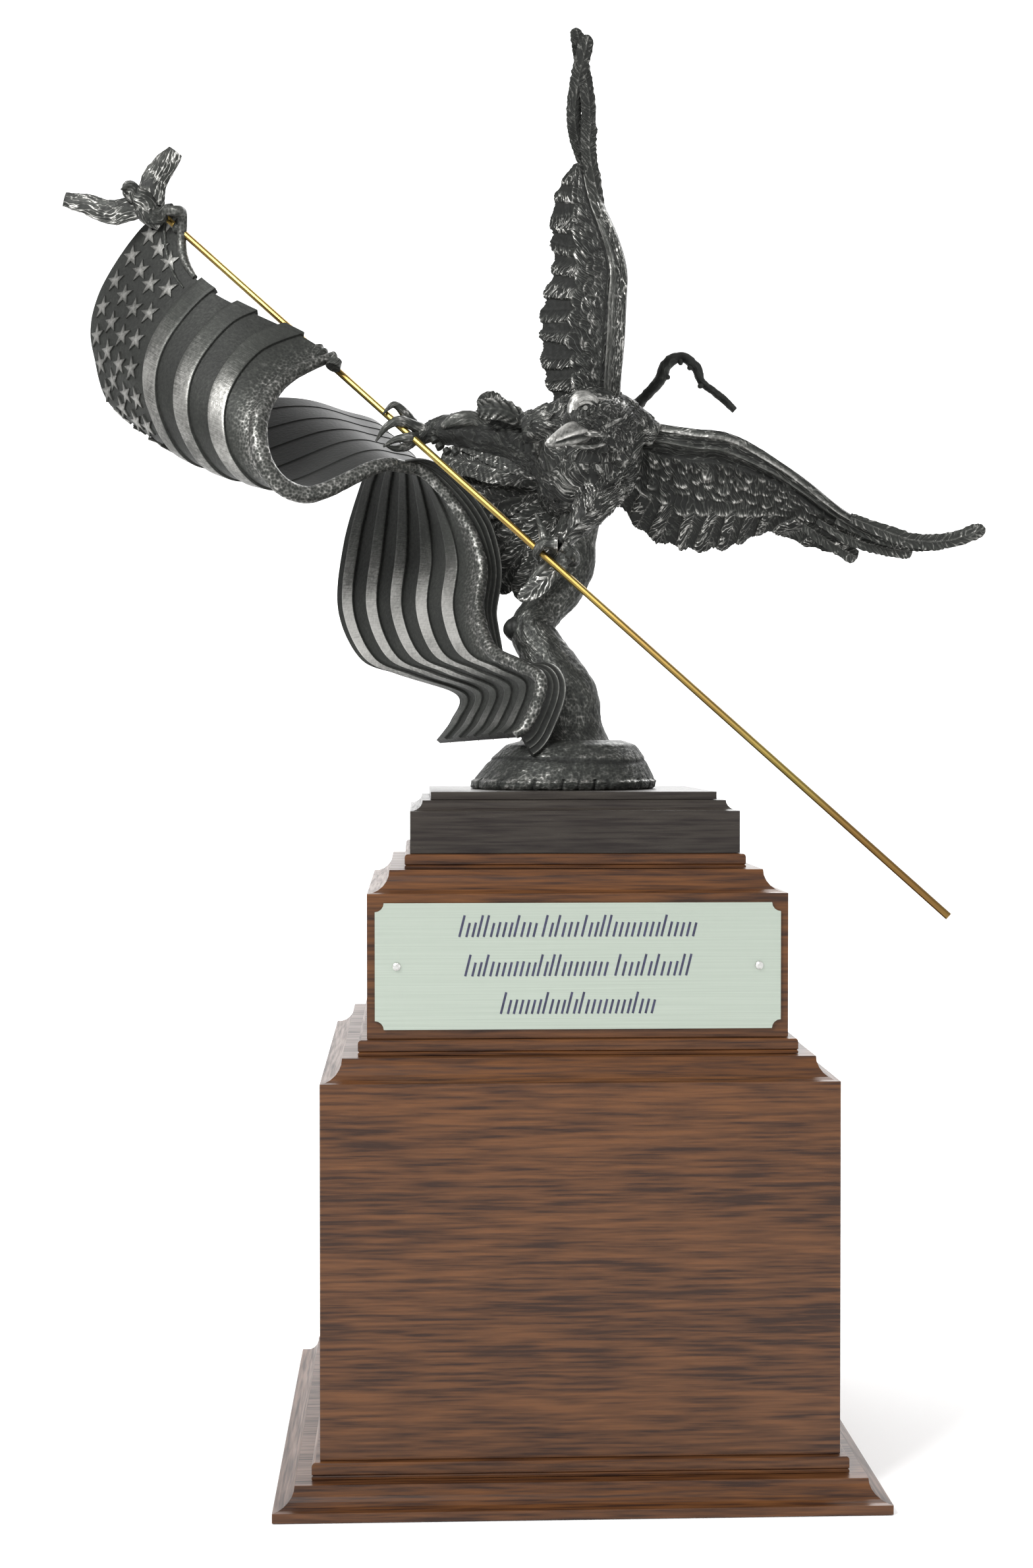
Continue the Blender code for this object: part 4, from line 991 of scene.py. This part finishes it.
def add_mound(shape, floor, sizes):
    """The mound: a lip split by nicks, leathery sides, a scored line and a ragged shoulder."""
    chance = random.Random(5)
    nicks = [(chance.uniform(0, 2 * math.pi), chance.uniform(0.006, 0.016)) for _ in range(LIP_NICKS)]
    rings = []
    for height in MOUND_HEIGHTS:
        ring = []
        for (low, small), (high, large) in zip(MOUND_RINGS, MOUND_RINGS[1:]):
            if low <= height <= high:
                radius = small + (large - small) * (height - low) / (high - low)
        for k in range(MOUND_SIDES):
            turn = 2 * math.pi * k / MOUND_SIDES + math.pi / 2
            wave = 1 + 0.015 * math.sin(3 * turn + 0.6) + 0.02 * math.sin(5 * turn)
            spot = Vector((math.cos(turn) * radius, math.sin(turn) * radius, height))
            crease = 1 - 2.5 * abs(noise.noise(spot * 0.22))
            grain = 0.30 * noise.noise(spot * 0.8) + 0.35 * noise.noise(spot * 0.16)
            grain -= 0.25 * max(0.0, crease)
            lip = height <= LIP_HEIGHT
            cut = sum(bell(math.remainder(turn - place, 2 * math.pi), 0.0, width) for place, width in nicks)
            if lip:
                grain -= 1.1 * cut
            scored = bell(height, 15.6 + 1.2 * math.sin(2 * turn), 0.9)
            grain -= 0.8 * scored
            reach = (radius * wave + grain * sizes.mound_relief) * MM
            across = reach * math.cos(turn) + MOUND_LEAN * height * MM - MOUND_SHIFT * MM
            point = Vector((across, reach * MOUND_DEPTH_SHARE * math.sin(turn), floor + height * MM))
            edge = bell(height, 4.6, 1.0) * 0.30 + bell(height, 0.6, 0.7) * 0.2
            edge += bell(height, 17.5, 1.5) * 0.15
            rub = clamp(0.34 + edge + 0.6 * grain - 0.5 * cut * lip - 0.3 * scored)
            ring.append((point, rub, Vector((turn * radius, height * 1.2, 0)), 0.6, 0.15))
        rings.append(ring)
    sleeve(shape, rings)


def bark(turn, run, point):
    """Furrows along the trunk and its burl."""
    spot = Vector((math.cos(turn) * 3.0, math.sin(turn) * 3.0, run * 130))
    furrow = 0.55 * (1 - 2 * abs(noise.noise(spot)))
    return furrow + 0.35 * noise.noise(spot * 3.1) + 0.4 * noise.noise(point * 45) - 0.3


def twig_bark(turn, run, point):
    return 0.45 * noise.noise(point * 220) + 0.25 * strands(point, 1.6) + 0.5 * noise.noise(point * 90)


def make_support(sizes, material):
    """The mound, the leaning column with its burl, and the branch with its stubs, as one casting."""
    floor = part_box("mound_column_and_branch")[0][2]
    shape = new_shape()
    add_mound(shape, floor, sizes)
    limb(shape, COLUMN, COLUMN_RADII, (0.27, 0.30), bark, sides=80, rows=190, pebble=0.6, strand=0.2)
    limb(shape, BURL, (3.0, 7.0, 7.2, 3.0), (0.14, 0.3), bark, sides=40, rows=24, pebble=0.3)
    limb(shape, BRANCH, BRANCH_RADII, (0.14, 0.45), twig_bark, sides=22, rows=220, strand=0.2)
    for share in STUB_SHARES:
        middle = smooth_point(BRANCH, share)
        radius = smooth_point(BRANCH_RADII, share)
        away = (heading(BRANCH, share).cross(FRONT) + Vector((0, -0.3, 0.2))).normalized()
        stub = [middle, middle + away * (radius + 0.8) * MM, middle + away * (radius + 1.8) * MM]
        limb(shape, stub, (2.2, 1.5, 0.7), (0.3, 0.0), sides=10, rows=8)
    return finished(shape, "support_cast", material, 50)


# Finial

FINIAL_BODY = places((-220, 662, 94), (-227.5, 669, 93), (-230, 674, 91), (-235, 679, 89))
FINIAL_BODY_RADII = (4.5, 7.2, 6.6, 4.5)
FINIAL_HEAD = places((-234.5, 676, 90), (-237.5, 681, 88), (-240, 683.5, 85))
FINIAL_HEAD_RADII = (4.2, 5.0, 2.6)
FINIAL_BEAK = places((-239.5, 682, 86), (-242.5, 681, 81))
FINIAL_NEAR_WING = places((-231, 673.5, 92), (-246.5, 668.5, 94), (-260.5, 672.5, 96), (-273.2, 675.4, 98))
FINIAL_NEAR_RADII = (7.4, 7.0, 5.8, 4.2)
FINIAL_HIGH_WING = places((-227, 673, 92), (-225, 685, 94), (-218.5, 695, 96), (-213, 702, 97))
FINIAL_HIGH_RADII = (8.4, 7.6, 6.6, 4.6)
FINIAL_LEGS = (
    places((-225, 667, 91), (-219.5, 669.5, 85), (-215, 672.5, 80)),
    places((-225, 665, 91), (-220.5, 665.5, 84), (-218.5, 669, 79.5)),
)
FINIAL_RUB = (0.2, 0.4)


def make_finial(material):
    """The small rough eagle on the pole's end."""
    shape = new_shape()

    def fur(turn, run, point):
        return 0.5 * strands(point, 1.3) + 0.3 * noise.noise(point * 90)

    def ruffled(turn, run, point):
        return 0.35 * strands(point, 1.5) + 0.5 * noise.noise(point * 110)

    for stations, radii in ((FINIAL_BODY, FINIAL_BODY_RADII), (FINIAL_HEAD, FINIAL_HEAD_RADII)):
        limb(shape, stations, radii, FINIAL_RUB, fur, sides=40, rows=40, strand=0.6)
    limb(shape, FINIAL_BEAK, (2.2, 0.5), (0.5, 0.0), sides=14, rows=12)
    for stations, radii in ((FINIAL_NEAR_WING, FINIAL_NEAR_RADII), (FINIAL_HIGH_WING, FINIAL_HIGH_RADII)):
        limb(shape, stations, radii, FINIAL_RUB, ruffled, sides=52, rows=80, flat=0.3, strand=0.7)
    for stations in FINIAL_LEGS:
        limb(shape, stations, (3.6, 2.8, 1.4), FINIAL_RUB, fur, sides=16, rows=18, strand=0.4)
    return finished(shape, "finial_cast", material, 50)


# Nameplate

# Each row's height on the plate, and where its groups start and end, in mm
STROKE_ROWS = (
    (18.6, ((-59, -22), (-17, -1), (3, 59))), (-1.3, ((-56, 14), (20, 56))), (-20.4, ((-38, 38),)),
)
STROKE_SLANT = math.radians(14)
STROKE_DEPTH = 0.1 * MM
STROKE_SINK = 0.03 * MM
TALL_CHANCE = 0.2
TALL_SHARE = 1.45
LEAST_SHARE = 0.92


def make_plate_strokes(sizes, material):
    """Three centred rows of shallow slanting strokes, in groups, where the plate is engraved."""
    low, high = (Vector(corner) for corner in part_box("nameplate"))
    middle = (low + high) / 2
    face = low.y - STROKE_SINK
    turn = Matrix.Rotation(STROKE_SLANT, 4, "Y")
    chance = random.Random(3)
    shape = bmesh.new()
    for height, groups in STROKE_ROWS:
        for start, end in groups:
            count = int((end - start) / (sizes.stroke_pitch / MM))
            for k in range(count + 1):
                across = start + (end - start) * k / count
                is_tall = chance.random() < TALL_CHANCE or k == 0
                tall = sizes.stroke_height * (TALL_SHARE if is_tall else chance.uniform(LEAST_SHARE, 1.0))
                lift = (tall - sizes.stroke_height) / 2
                place = Matrix.Translation((middle.x + across * MM, face, middle.z + height * MM + lift))
                size = Matrix.Diagonal((sizes.stroke_width, STROKE_DEPTH, tall, 1))
                bmesh.ops.create_cube(shape, size=1.0, matrix=place @ turn @ size)
    piece = linked(shape, "plate_strokes", material)
    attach(piece, "root")
    return piece


# Materials

WOOD_GLOSS = 0.30
TOP_GLOSS = 0.26
PLATE_BRUSHING = 2600.0
SCREW_BRUSHING = 900.0
SCREW_STEEL = (0.62, 0.62, 0.60)


def new_material(name):
    material = bpy.data.materials.new(name)
    material.use_nodes = True
    return material, material.node_tree, material.node_tree.nodes["Principled BSDF"]


def set_inputs(tree, made, inputs):
    """Links each of a node's inputs to a socket, or sets it to a value."""
    for key, value in inputs.items():
        if isinstance(value, bpy.types.NodeSocket):
            tree.links.new(value, made.inputs[key])
        else:
            made.inputs[key].default_value = value


def node(tree, kind, inputs=None, **settings):
    made = tree.nodes.new(kind)
    for key, value in settings.items():
        setattr(made, key, value)
    set_inputs(tree, made, inputs or {})
    return made


def attribute(tree, name, output="Fac"):
    return node(tree, "ShaderNodeAttribute", attribute_name=name).outputs[output]


def object_place(tree):
    return node(tree, "ShaderNodeTexCoord").outputs["Object"]


def noise_at(tree, place, scale, detail, output="Fac"):
    settings = {"Vector": place, "Scale": scale, "Detail": detail}
    return node(tree, "ShaderNodeTexNoise", settings).outputs[output]


def stretched(tree, place, scale):
    return node(tree, "ShaderNodeMapping", {"Vector": place, "Scale": scale}).outputs["Vector"]


def ramp(tree, factor, stops):
    made = node(tree, "ShaderNodeValToRGB", {"Fac": factor})
    elements = made.color_ramp.elements
    while len(elements) < len(stops):
        elements.new(0.5)
    for element, (place, colour) in zip(elements, stops):
        element.position = place
        element.color = (*colour, 1)
    return made.outputs["Color"]


def grey_ramp(tree, factor, *stops):
    """A ramp of plain numbers, each stop being its place and its value."""
    return ramp(tree, factor, [(place, (value, value, value)) for place, value in stops])


def shaded(colour, share):
    return [value * share for value in colour]


def math_node(tree, operation, *values, clamped=False):
    settings = {"operation": operation, "use_clamp": clamped}
    return node(tree, "ShaderNodeMath", dict(enumerate(values)), **settings).outputs[0]


def vector_node(tree, operation, *values):
    return node(tree, "ShaderNodeVectorMath", dict(enumerate(values)), operation=operation).outputs[0]


def bump(tree, height, strength, distance):
    settings = {"Strength": strength, "Distance": distance, "Height": height}
    return node(tree, "ShaderNodeBump", settings).outputs["Normal"]


def cast_pewter(name, looks):
    """Antiqued cast metal: near-black in the recesses, rubbed bright on what stands out."""
    material, tree, shader = new_material(name)
    place = object_place(tree)
    rub, pebble, brush = attribute(tree, "rub"), attribute(tree, "pebble"), attribute(tree, "brush")
    strand, flow = attribute(tree, "strand"), attribute(tree, "flow", "Vector")
    fine = noise_at(tree, place, 520.0, 3.0)
    broad = noise_at(tree, place, 30.0, 2.0)
    fleck = node(tree, "ShaderNodeTexVoronoi", {"Vector": place, "Scale": 620.0}).outputs["Distance"]

    # Hair-thin bright ridges that curl along the strands' run
    curl = noise_at(tree, place, 62.0, 1.0, "Color")
    curled = vector_node(tree, "MULTIPLY_ADD", curl, (9.0, 9.0, 0.0), flow)
    wavy = noise_at(tree, stretched(tree, curled, (0.11, 0.44, 1.0)), 1.0, 1.5)
    off_ridge = math_node(tree, "ABSOLUTE", math_node(tree, "SUBTRACT", wavy, 0.5))
    ridge = math_node(tree, "MULTIPLY_ADD", off_ridge, -15.0, 1.0, clamped=True)
    hair = math_node(tree, "MULTIPLY", ridge, strand)

    # Straight brush marks on the flag's bands, and flecks where the cast is pebbled
    streak = noise_at(tree, stretched(tree, flow, (0.10, 1.7, 1.0)), 1.0, 3.0)
    scratch = math_node(tree, "MULTIPLY", math_node(tree, "SUBTRACT", streak, 0.5), brush)
    speck = math_node(tree, "MULTIPLY", math_node(tree, "SUBTRACT", fleck, 0.40), pebble)

    level = math_node(tree, "MULTIPLY_ADD", fine, 0.30, rub)
    level = math_node(tree, "MULTIPLY_ADD", broad, 0.24, level)
    level = math_node(tree, "ADD", level, -0.34)
    level = math_node(tree, "MULTIPLY_ADD", hair, 0.80, level)
    level = math_node(tree, "MULTIPLY_ADD", speck, 0.75, level)
    level = math_node(tree, "MULTIPLY_ADD", scratch, 0.42, level, clamped=True)
    # The polish also carries painted highlights on the flag's bands and hem and painted shade on the flag's
    # back and the eagle's body, so this ramp colours those as well.
    colour = ramp(tree, level, (
        (0.0, shaded(looks.dark_metal, 0.5)), (0.16, looks.dark_metal), (0.34, shaded(looks.dark_metal, 2.2)),
        (0.55, looks.middle_metal), (0.95, looks.bright_metal),
    ))
    height = math_node(tree, "MULTIPLY_ADD", scratch, 0.5, fine)
    height = math_node(tree, "MULTIPLY_ADD", hair, 3.0, height)
    height = math_node(tree, "MULTIPLY_ADD", speck, 1.0, height)
    set_inputs(tree, shader, {
        "Base Color": colour,
        "Roughness": grey_ramp(tree, level, (0.0, 0.60), (0.5, 0.46), (1.0, 0.33)),
        "Metallic": grey_ramp(tree, level, (0.12, 0.15), (0.5, 0.85)),
        "Specular IOR Level": 0.3,
        "Normal": bump(tree, height, 0.45, 0.4 * MM),
    })
    return material


def walnut(name, pale, deep, gloss):
    """Varnished walnut: thin dark lines of grain along each board, turned to meet at the mitres."""
    material, tree, shader = new_material(name)
    place = object_place(tree)
    normal = node(tree, "ShaderNodeNewGeometry").outputs["True Normal"]
    parts = node(tree, "ShaderNodeSeparateXYZ", {"Vector": place}).outputs
    facing = node(tree, "ShaderNodeSeparateXYZ", {"Vector": normal}).outputs
    to_the_side, to_the_front = [math_node(tree, "ABSOLUTE", facing[axis]) for axis in "XY"]
    sideways = math_node(tree, "GREATER_THAN", to_the_side, to_the_front)
    swapped = {"X": parts["Y"], "Y": parts["X"], "Z": parts["Z"]}
    turned = node(tree, "ShaderNodeCombineXYZ", swapped).outputs[0]
    either = {"Factor": sideways, 4: place, 5: turned}
    spot = node(tree, "ShaderNodeMix", either, data_type="VECTOR").outputs[1]
    bend = noise_at(tree, spot, 7.0, 2.0, "Color")
    wander = vector_node(tree, "MULTIPLY", bend, (0.6, 3.0, 3.0))
    figure = vector_node(tree, "ADD", stretched(tree, spot, (1.3, 60.0, 95.0)), wander)
    grain = noise_at(tree, figure, 1.0, 4.0)
    pore = noise_at(tree, stretched(tree, spot, (30.0, 620.0, 620.0)), 1.0, 3.0)
    level = math_node(tree, "MULTIPLY_ADD", pore, 0.90, math_node(tree, "MULTIPLY", grain, 0.45))
    middle = [(light + dark) / 2 for light, dark in zip(pale, deep)]
    set_inputs(tree, shader, {
        "Base Color": ramp(tree, level, ((0.50, deep), (0.66, middle), (0.86, pale))),
        "Roughness": grey_ramp(tree, level, (0.5, gloss + 0.12), (0.8, gloss)),
        "Specular IOR Level": 0.35,
        "Normal": bump(tree, level, 0.2, 0.2 * MM),
    })
    return material


def brushed(name, colour, across):
    """Satin metal with fine straight brushing along X, across being how close its lines lie."""
    material, tree, shader = new_material(name)
    streak = noise_at(tree, stretched(tree, object_place(tree), (12.0, 12.0, across)), 1.0, 4.0)
    set_inputs(tree, shader, {
        "Base Color": ramp(tree, streak, ((0.3, shaded(colour, 0.86)), (0.7, colour))),
        "Roughness": grey_ramp(tree, streak, (0.3, 0.5), (0.7, 0.36)),
        "Metallic": 0.8,
    })
    return material


def rod_brass(name, colour):
    """Polished brass, a little darker and redder in patches."""
    material, tree, shader = new_material(name)
    patch = noise_at(tree, object_place(tree), 9.0, 2.0)
    warm = [value * share for value, share in zip(colour, (0.72, 0.55, 0.62))]
    set_inputs(tree, shader, {
        "Base Color": ramp(tree, patch, ((0.36, warm), (0.56, colour))),
        "Roughness": grey_ramp(tree, patch, (0.3, 0.42), (0.7, 0.34)),
        "Metallic": 1.0,
    })
    return material


def stroke_enamel(name, colour):
    """Dark enamel in the engraved strokes, slightly uneven."""
    material, tree, shader = new_material(name)
    uneven = noise_at(tree, object_place(tree), 400.0, 2.0)
    set_inputs(tree, shader, {
        "Base Color": ramp(tree, uneven, ((0.3, colour), (0.7, shaded(colour, 1.8)))),
        "Roughness": 0.45,
    })
    return material


def dress_node(name, material):
    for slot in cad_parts[name].material_slots:
        slot.material = material


# Settings


class TrophyCastSizes(bpy.types.PropertyGroup):
    """Sizes of the cast relief."""

    body_voxel: bpy.props.FloatProperty(
        name="Body voxel", description="Fineness of the eagle's fused body", default=0.0011, unit="LENGTH",
    )
    body_relief: bpy.props.FloatProperty(
        name="Body relief", description="Depth of the locks on the body", default=0.0017, unit="LENGTH",
    )
    mound_relief: bpy.props.FloatProperty(
        name="Mound relief", description="Strength of the mound's leathery relief", default=1.0,
        subtype="FACTOR", min=0, max=2,
    )
    band_count: bpy.props.IntProperty(name="Bands", description="Raised bands across the flag", default=5)
    band_width: bpy.props.FloatProperty(
        name="Band width", description="Width of each raised band", default=0.011, unit="LENGTH",
    )
    band_pitch: bpy.props.FloatProperty(
        name="Band pitch", description="Distance between neighbouring bands", default=0.0245, unit="LENGTH",
    )
    first_band: bpy.props.FloatProperty(
        name="First band", description="Middle of the first band from the near hem",
        default=0.027, unit="LENGTH",
    )
    band_relief: bpy.props.FloatProperty(
        name="Band relief", description="How far the bands stand out", default=0.0014, unit="LENGTH",
    )
    flag_thickness: bpy.props.FloatProperty(
        name="Flag thickness", description="Thickness of the cast sheet", default=0.003, unit="LENGTH",
    )
    return_width: bpy.props.FloatProperty(
        name="Return width", description="Width of the turned-back hem", default=0.015, unit="LENGTH",
    )
    star_width: bpy.props.FloatProperty(
        name="Star width", description="Size of each star across its points", default=0.0146, unit="LENGTH",
    )
    star_pitch: bpy.props.FloatProperty(
        name="Star pitch", description="Distance between stars in a row", default=0.0170, unit="LENGTH",
    )
    star_relief: bpy.props.FloatProperty(
        name="Star relief", description="How far the stars stand out", default=0.0009, unit="LENGTH",
    )
    stroke_width: bpy.props.FloatProperty(
        name="Stroke width", description="Width of the plate's strokes", default=0.0012, unit="LENGTH",
    )
    stroke_height: bpy.props.FloatProperty(
        name="Stroke height", description="Height of the plate's short strokes",
        default=0.0078, unit="LENGTH",
    )
    stroke_pitch: bpy.props.FloatProperty(
        name="Stroke pitch", description="Distance between strokes", default=0.0030, unit="LENGTH",
    )


class TrophyLooks(bpy.types.PropertyGroup):
    """Colours of the finishes."""

    # Also the colour of the painted shade on the flag's back.
    dark_metal: bpy.props.FloatVectorProperty(
        name="Dark metal", description="Recesses of the casting", subtype="COLOR",
        default=(0.019, 0.020, 0.018),
    )
    middle_metal: bpy.props.FloatVectorProperty(
        name="Middle metal", description="Half-rubbed casting", subtype="COLOR",
        default=(0.13, 0.13, 0.122),
    )
    # Also the colour of the painted highlights on the flag's bands.
    bright_metal: bpy.props.FloatVectorProperty(
        name="Bright metal", description="Rubbed edges", subtype="COLOR", default=(0.62, 0.61, 0.58),
    )
    pale_walnut: bpy.props.FloatVectorProperty(
        name="Pale walnut", description="Light streaks of the wood", subtype="COLOR",
        default=(0.118, 0.046, 0.015),
    )
    deep_walnut: bpy.props.FloatVectorProperty(
        name="Deep walnut", description="Dark streaks of the wood", subtype="COLOR",
        default=(0.026, 0.0095, 0.0042),
    )
    pale_top: bpy.props.FloatVectorProperty(
        name="Top block, pale", description="Light streaks of the top block", subtype="COLOR",
        default=(0.040, 0.034, 0.028),
    )
    deep_top: bpy.props.FloatVectorProperty(
        name="Top block, deep", description="Dark streaks of the top block", subtype="COLOR",
        default=(0.012, 0.008, 0.007),
    )
    brass: bpy.props.FloatVectorProperty(
        name="Brass", description="Pole", subtype="COLOR", default=(0.29, 0.215, 0.062),
    )
    plate: bpy.props.FloatVectorProperty(
        name="Plate", description="Nameplate", subtype="COLOR", default=(0.49, 0.55, 0.48),
    )
    strokes: bpy.props.FloatVectorProperty(
        name="Strokes", description="Enamel in the strokes", subtype="COLOR", default=(0.020, 0.020, 0.045),
    )
    floor: bpy.props.FloatVectorProperty(
        name="Floor", description="Studio floor", subtype="COLOR", default=(0.95, 0.95, 0.95),
    )


# Operators


def cast_material():
    return bpy.data.materials.get("Cast pewter") or cast_pewter("Cast pewter", bpy.context.scene.trophy_looks)


class TROPHY_OT_plinth(bpy.types.Operator):
    """Gives the plinth's boards, the nameplate and the pole their finishes"""

    bl_idname = "trophy.plinth"
    bl_label = "Finish plinth, plate and pole"

    def execute(self, context):
        looks = context.scene.trophy_looks
        wood = walnut("Walnut", looks.pale_walnut, looks.deep_walnut, WOOD_GLOSS)
        dark = walnut("Dark walnut", looks.pale_top, looks.deep_top, TOP_GLOSS)
        for name in ("base_board", "base_fillet", "lower_box", "middle_fillet", "upper_box", "top_fillet"):
            dress_node(name, wood)
        for name in ("top_block", "top_board"):
            dress_node(name, dark)
        dress_node("nameplate", brushed("Plate metal", looks.plate, PLATE_BRUSHING))
        steel = brushed("Screw steel", SCREW_STEEL, SCREW_BRUSHING)
        for name in ("nameplate_screw_left", "nameplate_screw_right"):
            dress_node(name, steel)
        dress_node("flagpole", rod_brass("Rod brass", looks.brass))
        return {"FINISHED"}


class TROPHY_OT_plate_strokes(bpy.types.Operator):
    """Adds rows of strokes to the nameplate"""

    bl_idname = "trophy.plate_strokes"
    bl_label = "Add plate strokes"

    def execute(self, context):
        enamel = stroke_enamel("Stroke enamel", context.scene.trophy_looks.strokes)
        make_plate_strokes(context.scene.trophy_sizes, enamel)
        return {"FINISHED"}


class TROPHY_OT_support(bpy.types.Operator):
    """Models the mound, the column and the branch"""

    bl_idname = "trophy.support"
    bl_label = "Model mound, column and branch"

    def execute(self, context):
        piece = make_support(context.scene.trophy_sizes, cast_material())
        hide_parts("mound_column_and_branch")
        return {"FINISHED"}


class TROPHY_OT_flag(bpy.types.Operator):
    """Models the draped flag with its bands, stars and hem"""

    bl_idname = "trophy.flag"
    bl_label = "Model flag"

    def execute(self, context):
        piece = make_flag(context.scene.trophy_sizes, cast_material())
        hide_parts("flag")
        return {"FINISHED"}


class TROPHY_OT_eagle(bpy.types.Operator):
    """Models the eagle with its feathers"""

    bl_idname = "trophy.eagle"
    bl_label = "Model eagle"

    def execute(self, context):
        piece = make_eagle(context.scene.trophy_sizes, cast_material())
        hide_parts("eagle")
        return {"FINISHED"}


class TROPHY_OT_finial(bpy.types.Operator):
    """Models the small eagle on the pole's end"""

    bl_idname = "trophy.finial"
    bl_label = "Model finial"

    def execute(self, context):
        piece = make_finial(cast_material())
        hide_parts("finial_eagle")
        return {"FINISHED"}


FLOOR_GAP = 0.5 * MM
FLOOR_FRONT = -4.0
FLOOR_BACK = 2.4
FLOOR_BEND = 1.2
FLOOR_WIDTH = 12.0
BACKDROP_HEIGHT = 6.0
# Name, place, target, size and power
LIGHTS = (
    ("key", (-1.1, -1.3, 1.7), (0, 0, 0.4), 0.8, 54),
    ("fill", (1.5, -1.4, 0.9), (0, 0, 0.4), 1.2, 9),
    ("rim", (0.5, 1.4, 1.6), (0, 0, 0.4), 1.0, 20),
    ("backdrop light", (0, 0.8, 2.6), (0, 4.0, 1.6), 2.0, 110),
)
WORLD_STRENGTH = 0.6
CAMERA_TILT = math.radians(90 - 1.119)
CAMERA_TURN = math.radians(-2.449)
CAMERA_LENS = 53.09
CAMERA_SENSOR = 36


def add_light(name, place, target, size, power):
    lamp = bpy.data.lights.new(name, "AREA")
    lamp.size = size
    lamp.energy = power
    held = bpy.data.objects.new(name, lamp)
    bpy.context.scene.collection.objects.link(held)
    held.location = place
    held.rotation_euler = (Vector(target) - Vector(place)).to_track_quat("-Z", "Y").to_euler()


def swept_floor(material):
    """A wide pale floor that sweeps up into a backdrop far behind."""
    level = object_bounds()[0][2] - FLOOR_GAP
    profile = [(FLOOR_FRONT, level)]
    for k in range(17):
        turn = math.pi / 2 * k / 16
        rise = FLOOR_BEND * (1 - math.cos(turn))
        profile.append((FLOOR_BACK + FLOOR_BEND * math.sin(turn), level + rise))
    profile.append((FLOOR_BACK + FLOOR_BEND, level + BACKDROP_HEIGHT))
    shape = bmesh.new()
    line = [shape.verts.new((-FLOOR_WIDTH / 2, back, height)) for back, height in profile]
    edges = [shape.edges.new(pair) for pair in zip(line, line[1:])]
    made = bmesh.ops.extrude_edge_only(shape, edges=edges)["geom"]
    far_side = [item for item in made if isinstance(item, bmesh.types.BMVert)]
    bmesh.ops.translate(shape, verts=far_side, vec=(FLOOR_WIDTH, 0, 0))
    bmesh.ops.recalc_face_normals(shape, faces=shape.faces)
    floor = linked(shape, "studio_floor", material)
    floor.data.shade_smooth()
    return floor


class TROPHY_OT_studio(bpy.types.Operator):
    """Adds the pale floor, the soft lights and the camera"""

    bl_idname = "trophy.studio"
    bl_label = "Add studio and camera"

    def execute(self, context):
        scene = context.scene
        material, tree, shader = new_material("Studio floor")
        set_inputs(tree, shader, {"Base Color": (*scene.trophy_looks.floor, 1), "Roughness": 0.8})
        floor = swept_floor(material)
        floor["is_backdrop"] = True

        world = bpy.data.worlds.new("Studio light")
        world.use_nodes = True
        background = world.node_tree.nodes["Background"]
        set_inputs(world.node_tree, background, {"Color": (1, 1, 1, 1), "Strength": WORLD_STRENGTH})
        scene.world = world
        for light in LIGHTS:
            add_light(*light)
        scene.view_settings.view_transform = "Standard"

        camera = bpy.data.objects.new("camera", bpy.data.cameras.new("camera"))
        scene.collection.objects.link(camera)
        camera.location = EYE
        camera.rotation_euler = (CAMERA_TILT, 0, CAMERA_TURN)
        camera.data.lens = CAMERA_LENS
        camera.data.sensor_width = CAMERA_SENSOR
        scene.camera = camera
        return {"FINISHED"}


STEPS = (
    TROPHY_OT_plinth, TROPHY_OT_plate_strokes, TROPHY_OT_support, TROPHY_OT_flag, TROPHY_OT_eagle,
    TROPHY_OT_finial, TROPHY_OT_studio,
)


class TROPHY_PT_panel(bpy.types.Panel):
    """Lists the steps, in order."""

    bl_idname = "TROPHY_PT_panel"
    bl_label = "Eagle trophy"
    bl_space_type = "VIEW_3D"
    bl_region_type = "UI"
    bl_category = "Trophy"

    def draw(self, context):
        for step in STEPS:
            self.layout.operator(step.bl_idname)
        for group in (context.scene.trophy_sizes, context.scene.trophy_looks):
            box = self.layout.box()
            for name in group.__annotations__:
                box.prop(group, name)


CLASSES = (TrophyCastSizes, TrophyLooks, *STEPS, TROPHY_PT_panel)


def register():
    for made in CLASSES:
        bpy.utils.register_class(made)
    bpy.types.Scene.trophy_sizes = bpy.props.PointerProperty(type=TrophyCastSizes)
    bpy.types.Scene.trophy_looks = bpy.props.PointerProperty(type=TrophyLooks)


def unregister():
    del bpy.types.Scene.trophy_looks
    del bpy.types.Scene.trophy_sizes
    for made in reversed(CLASSES):
        bpy.utils.unregister_class(made)


def main():
    register()
    bpy.ops.trophy.plinth()
    bpy.ops.trophy.plate_strokes()
    bpy.ops.trophy.support()
    bpy.ops.trophy.flag()
    bpy.ops.trophy.eagle()
    bpy.ops.trophy.finial()
    bpy.ops.trophy.studio()


if __name__ == "__main__":
    main()
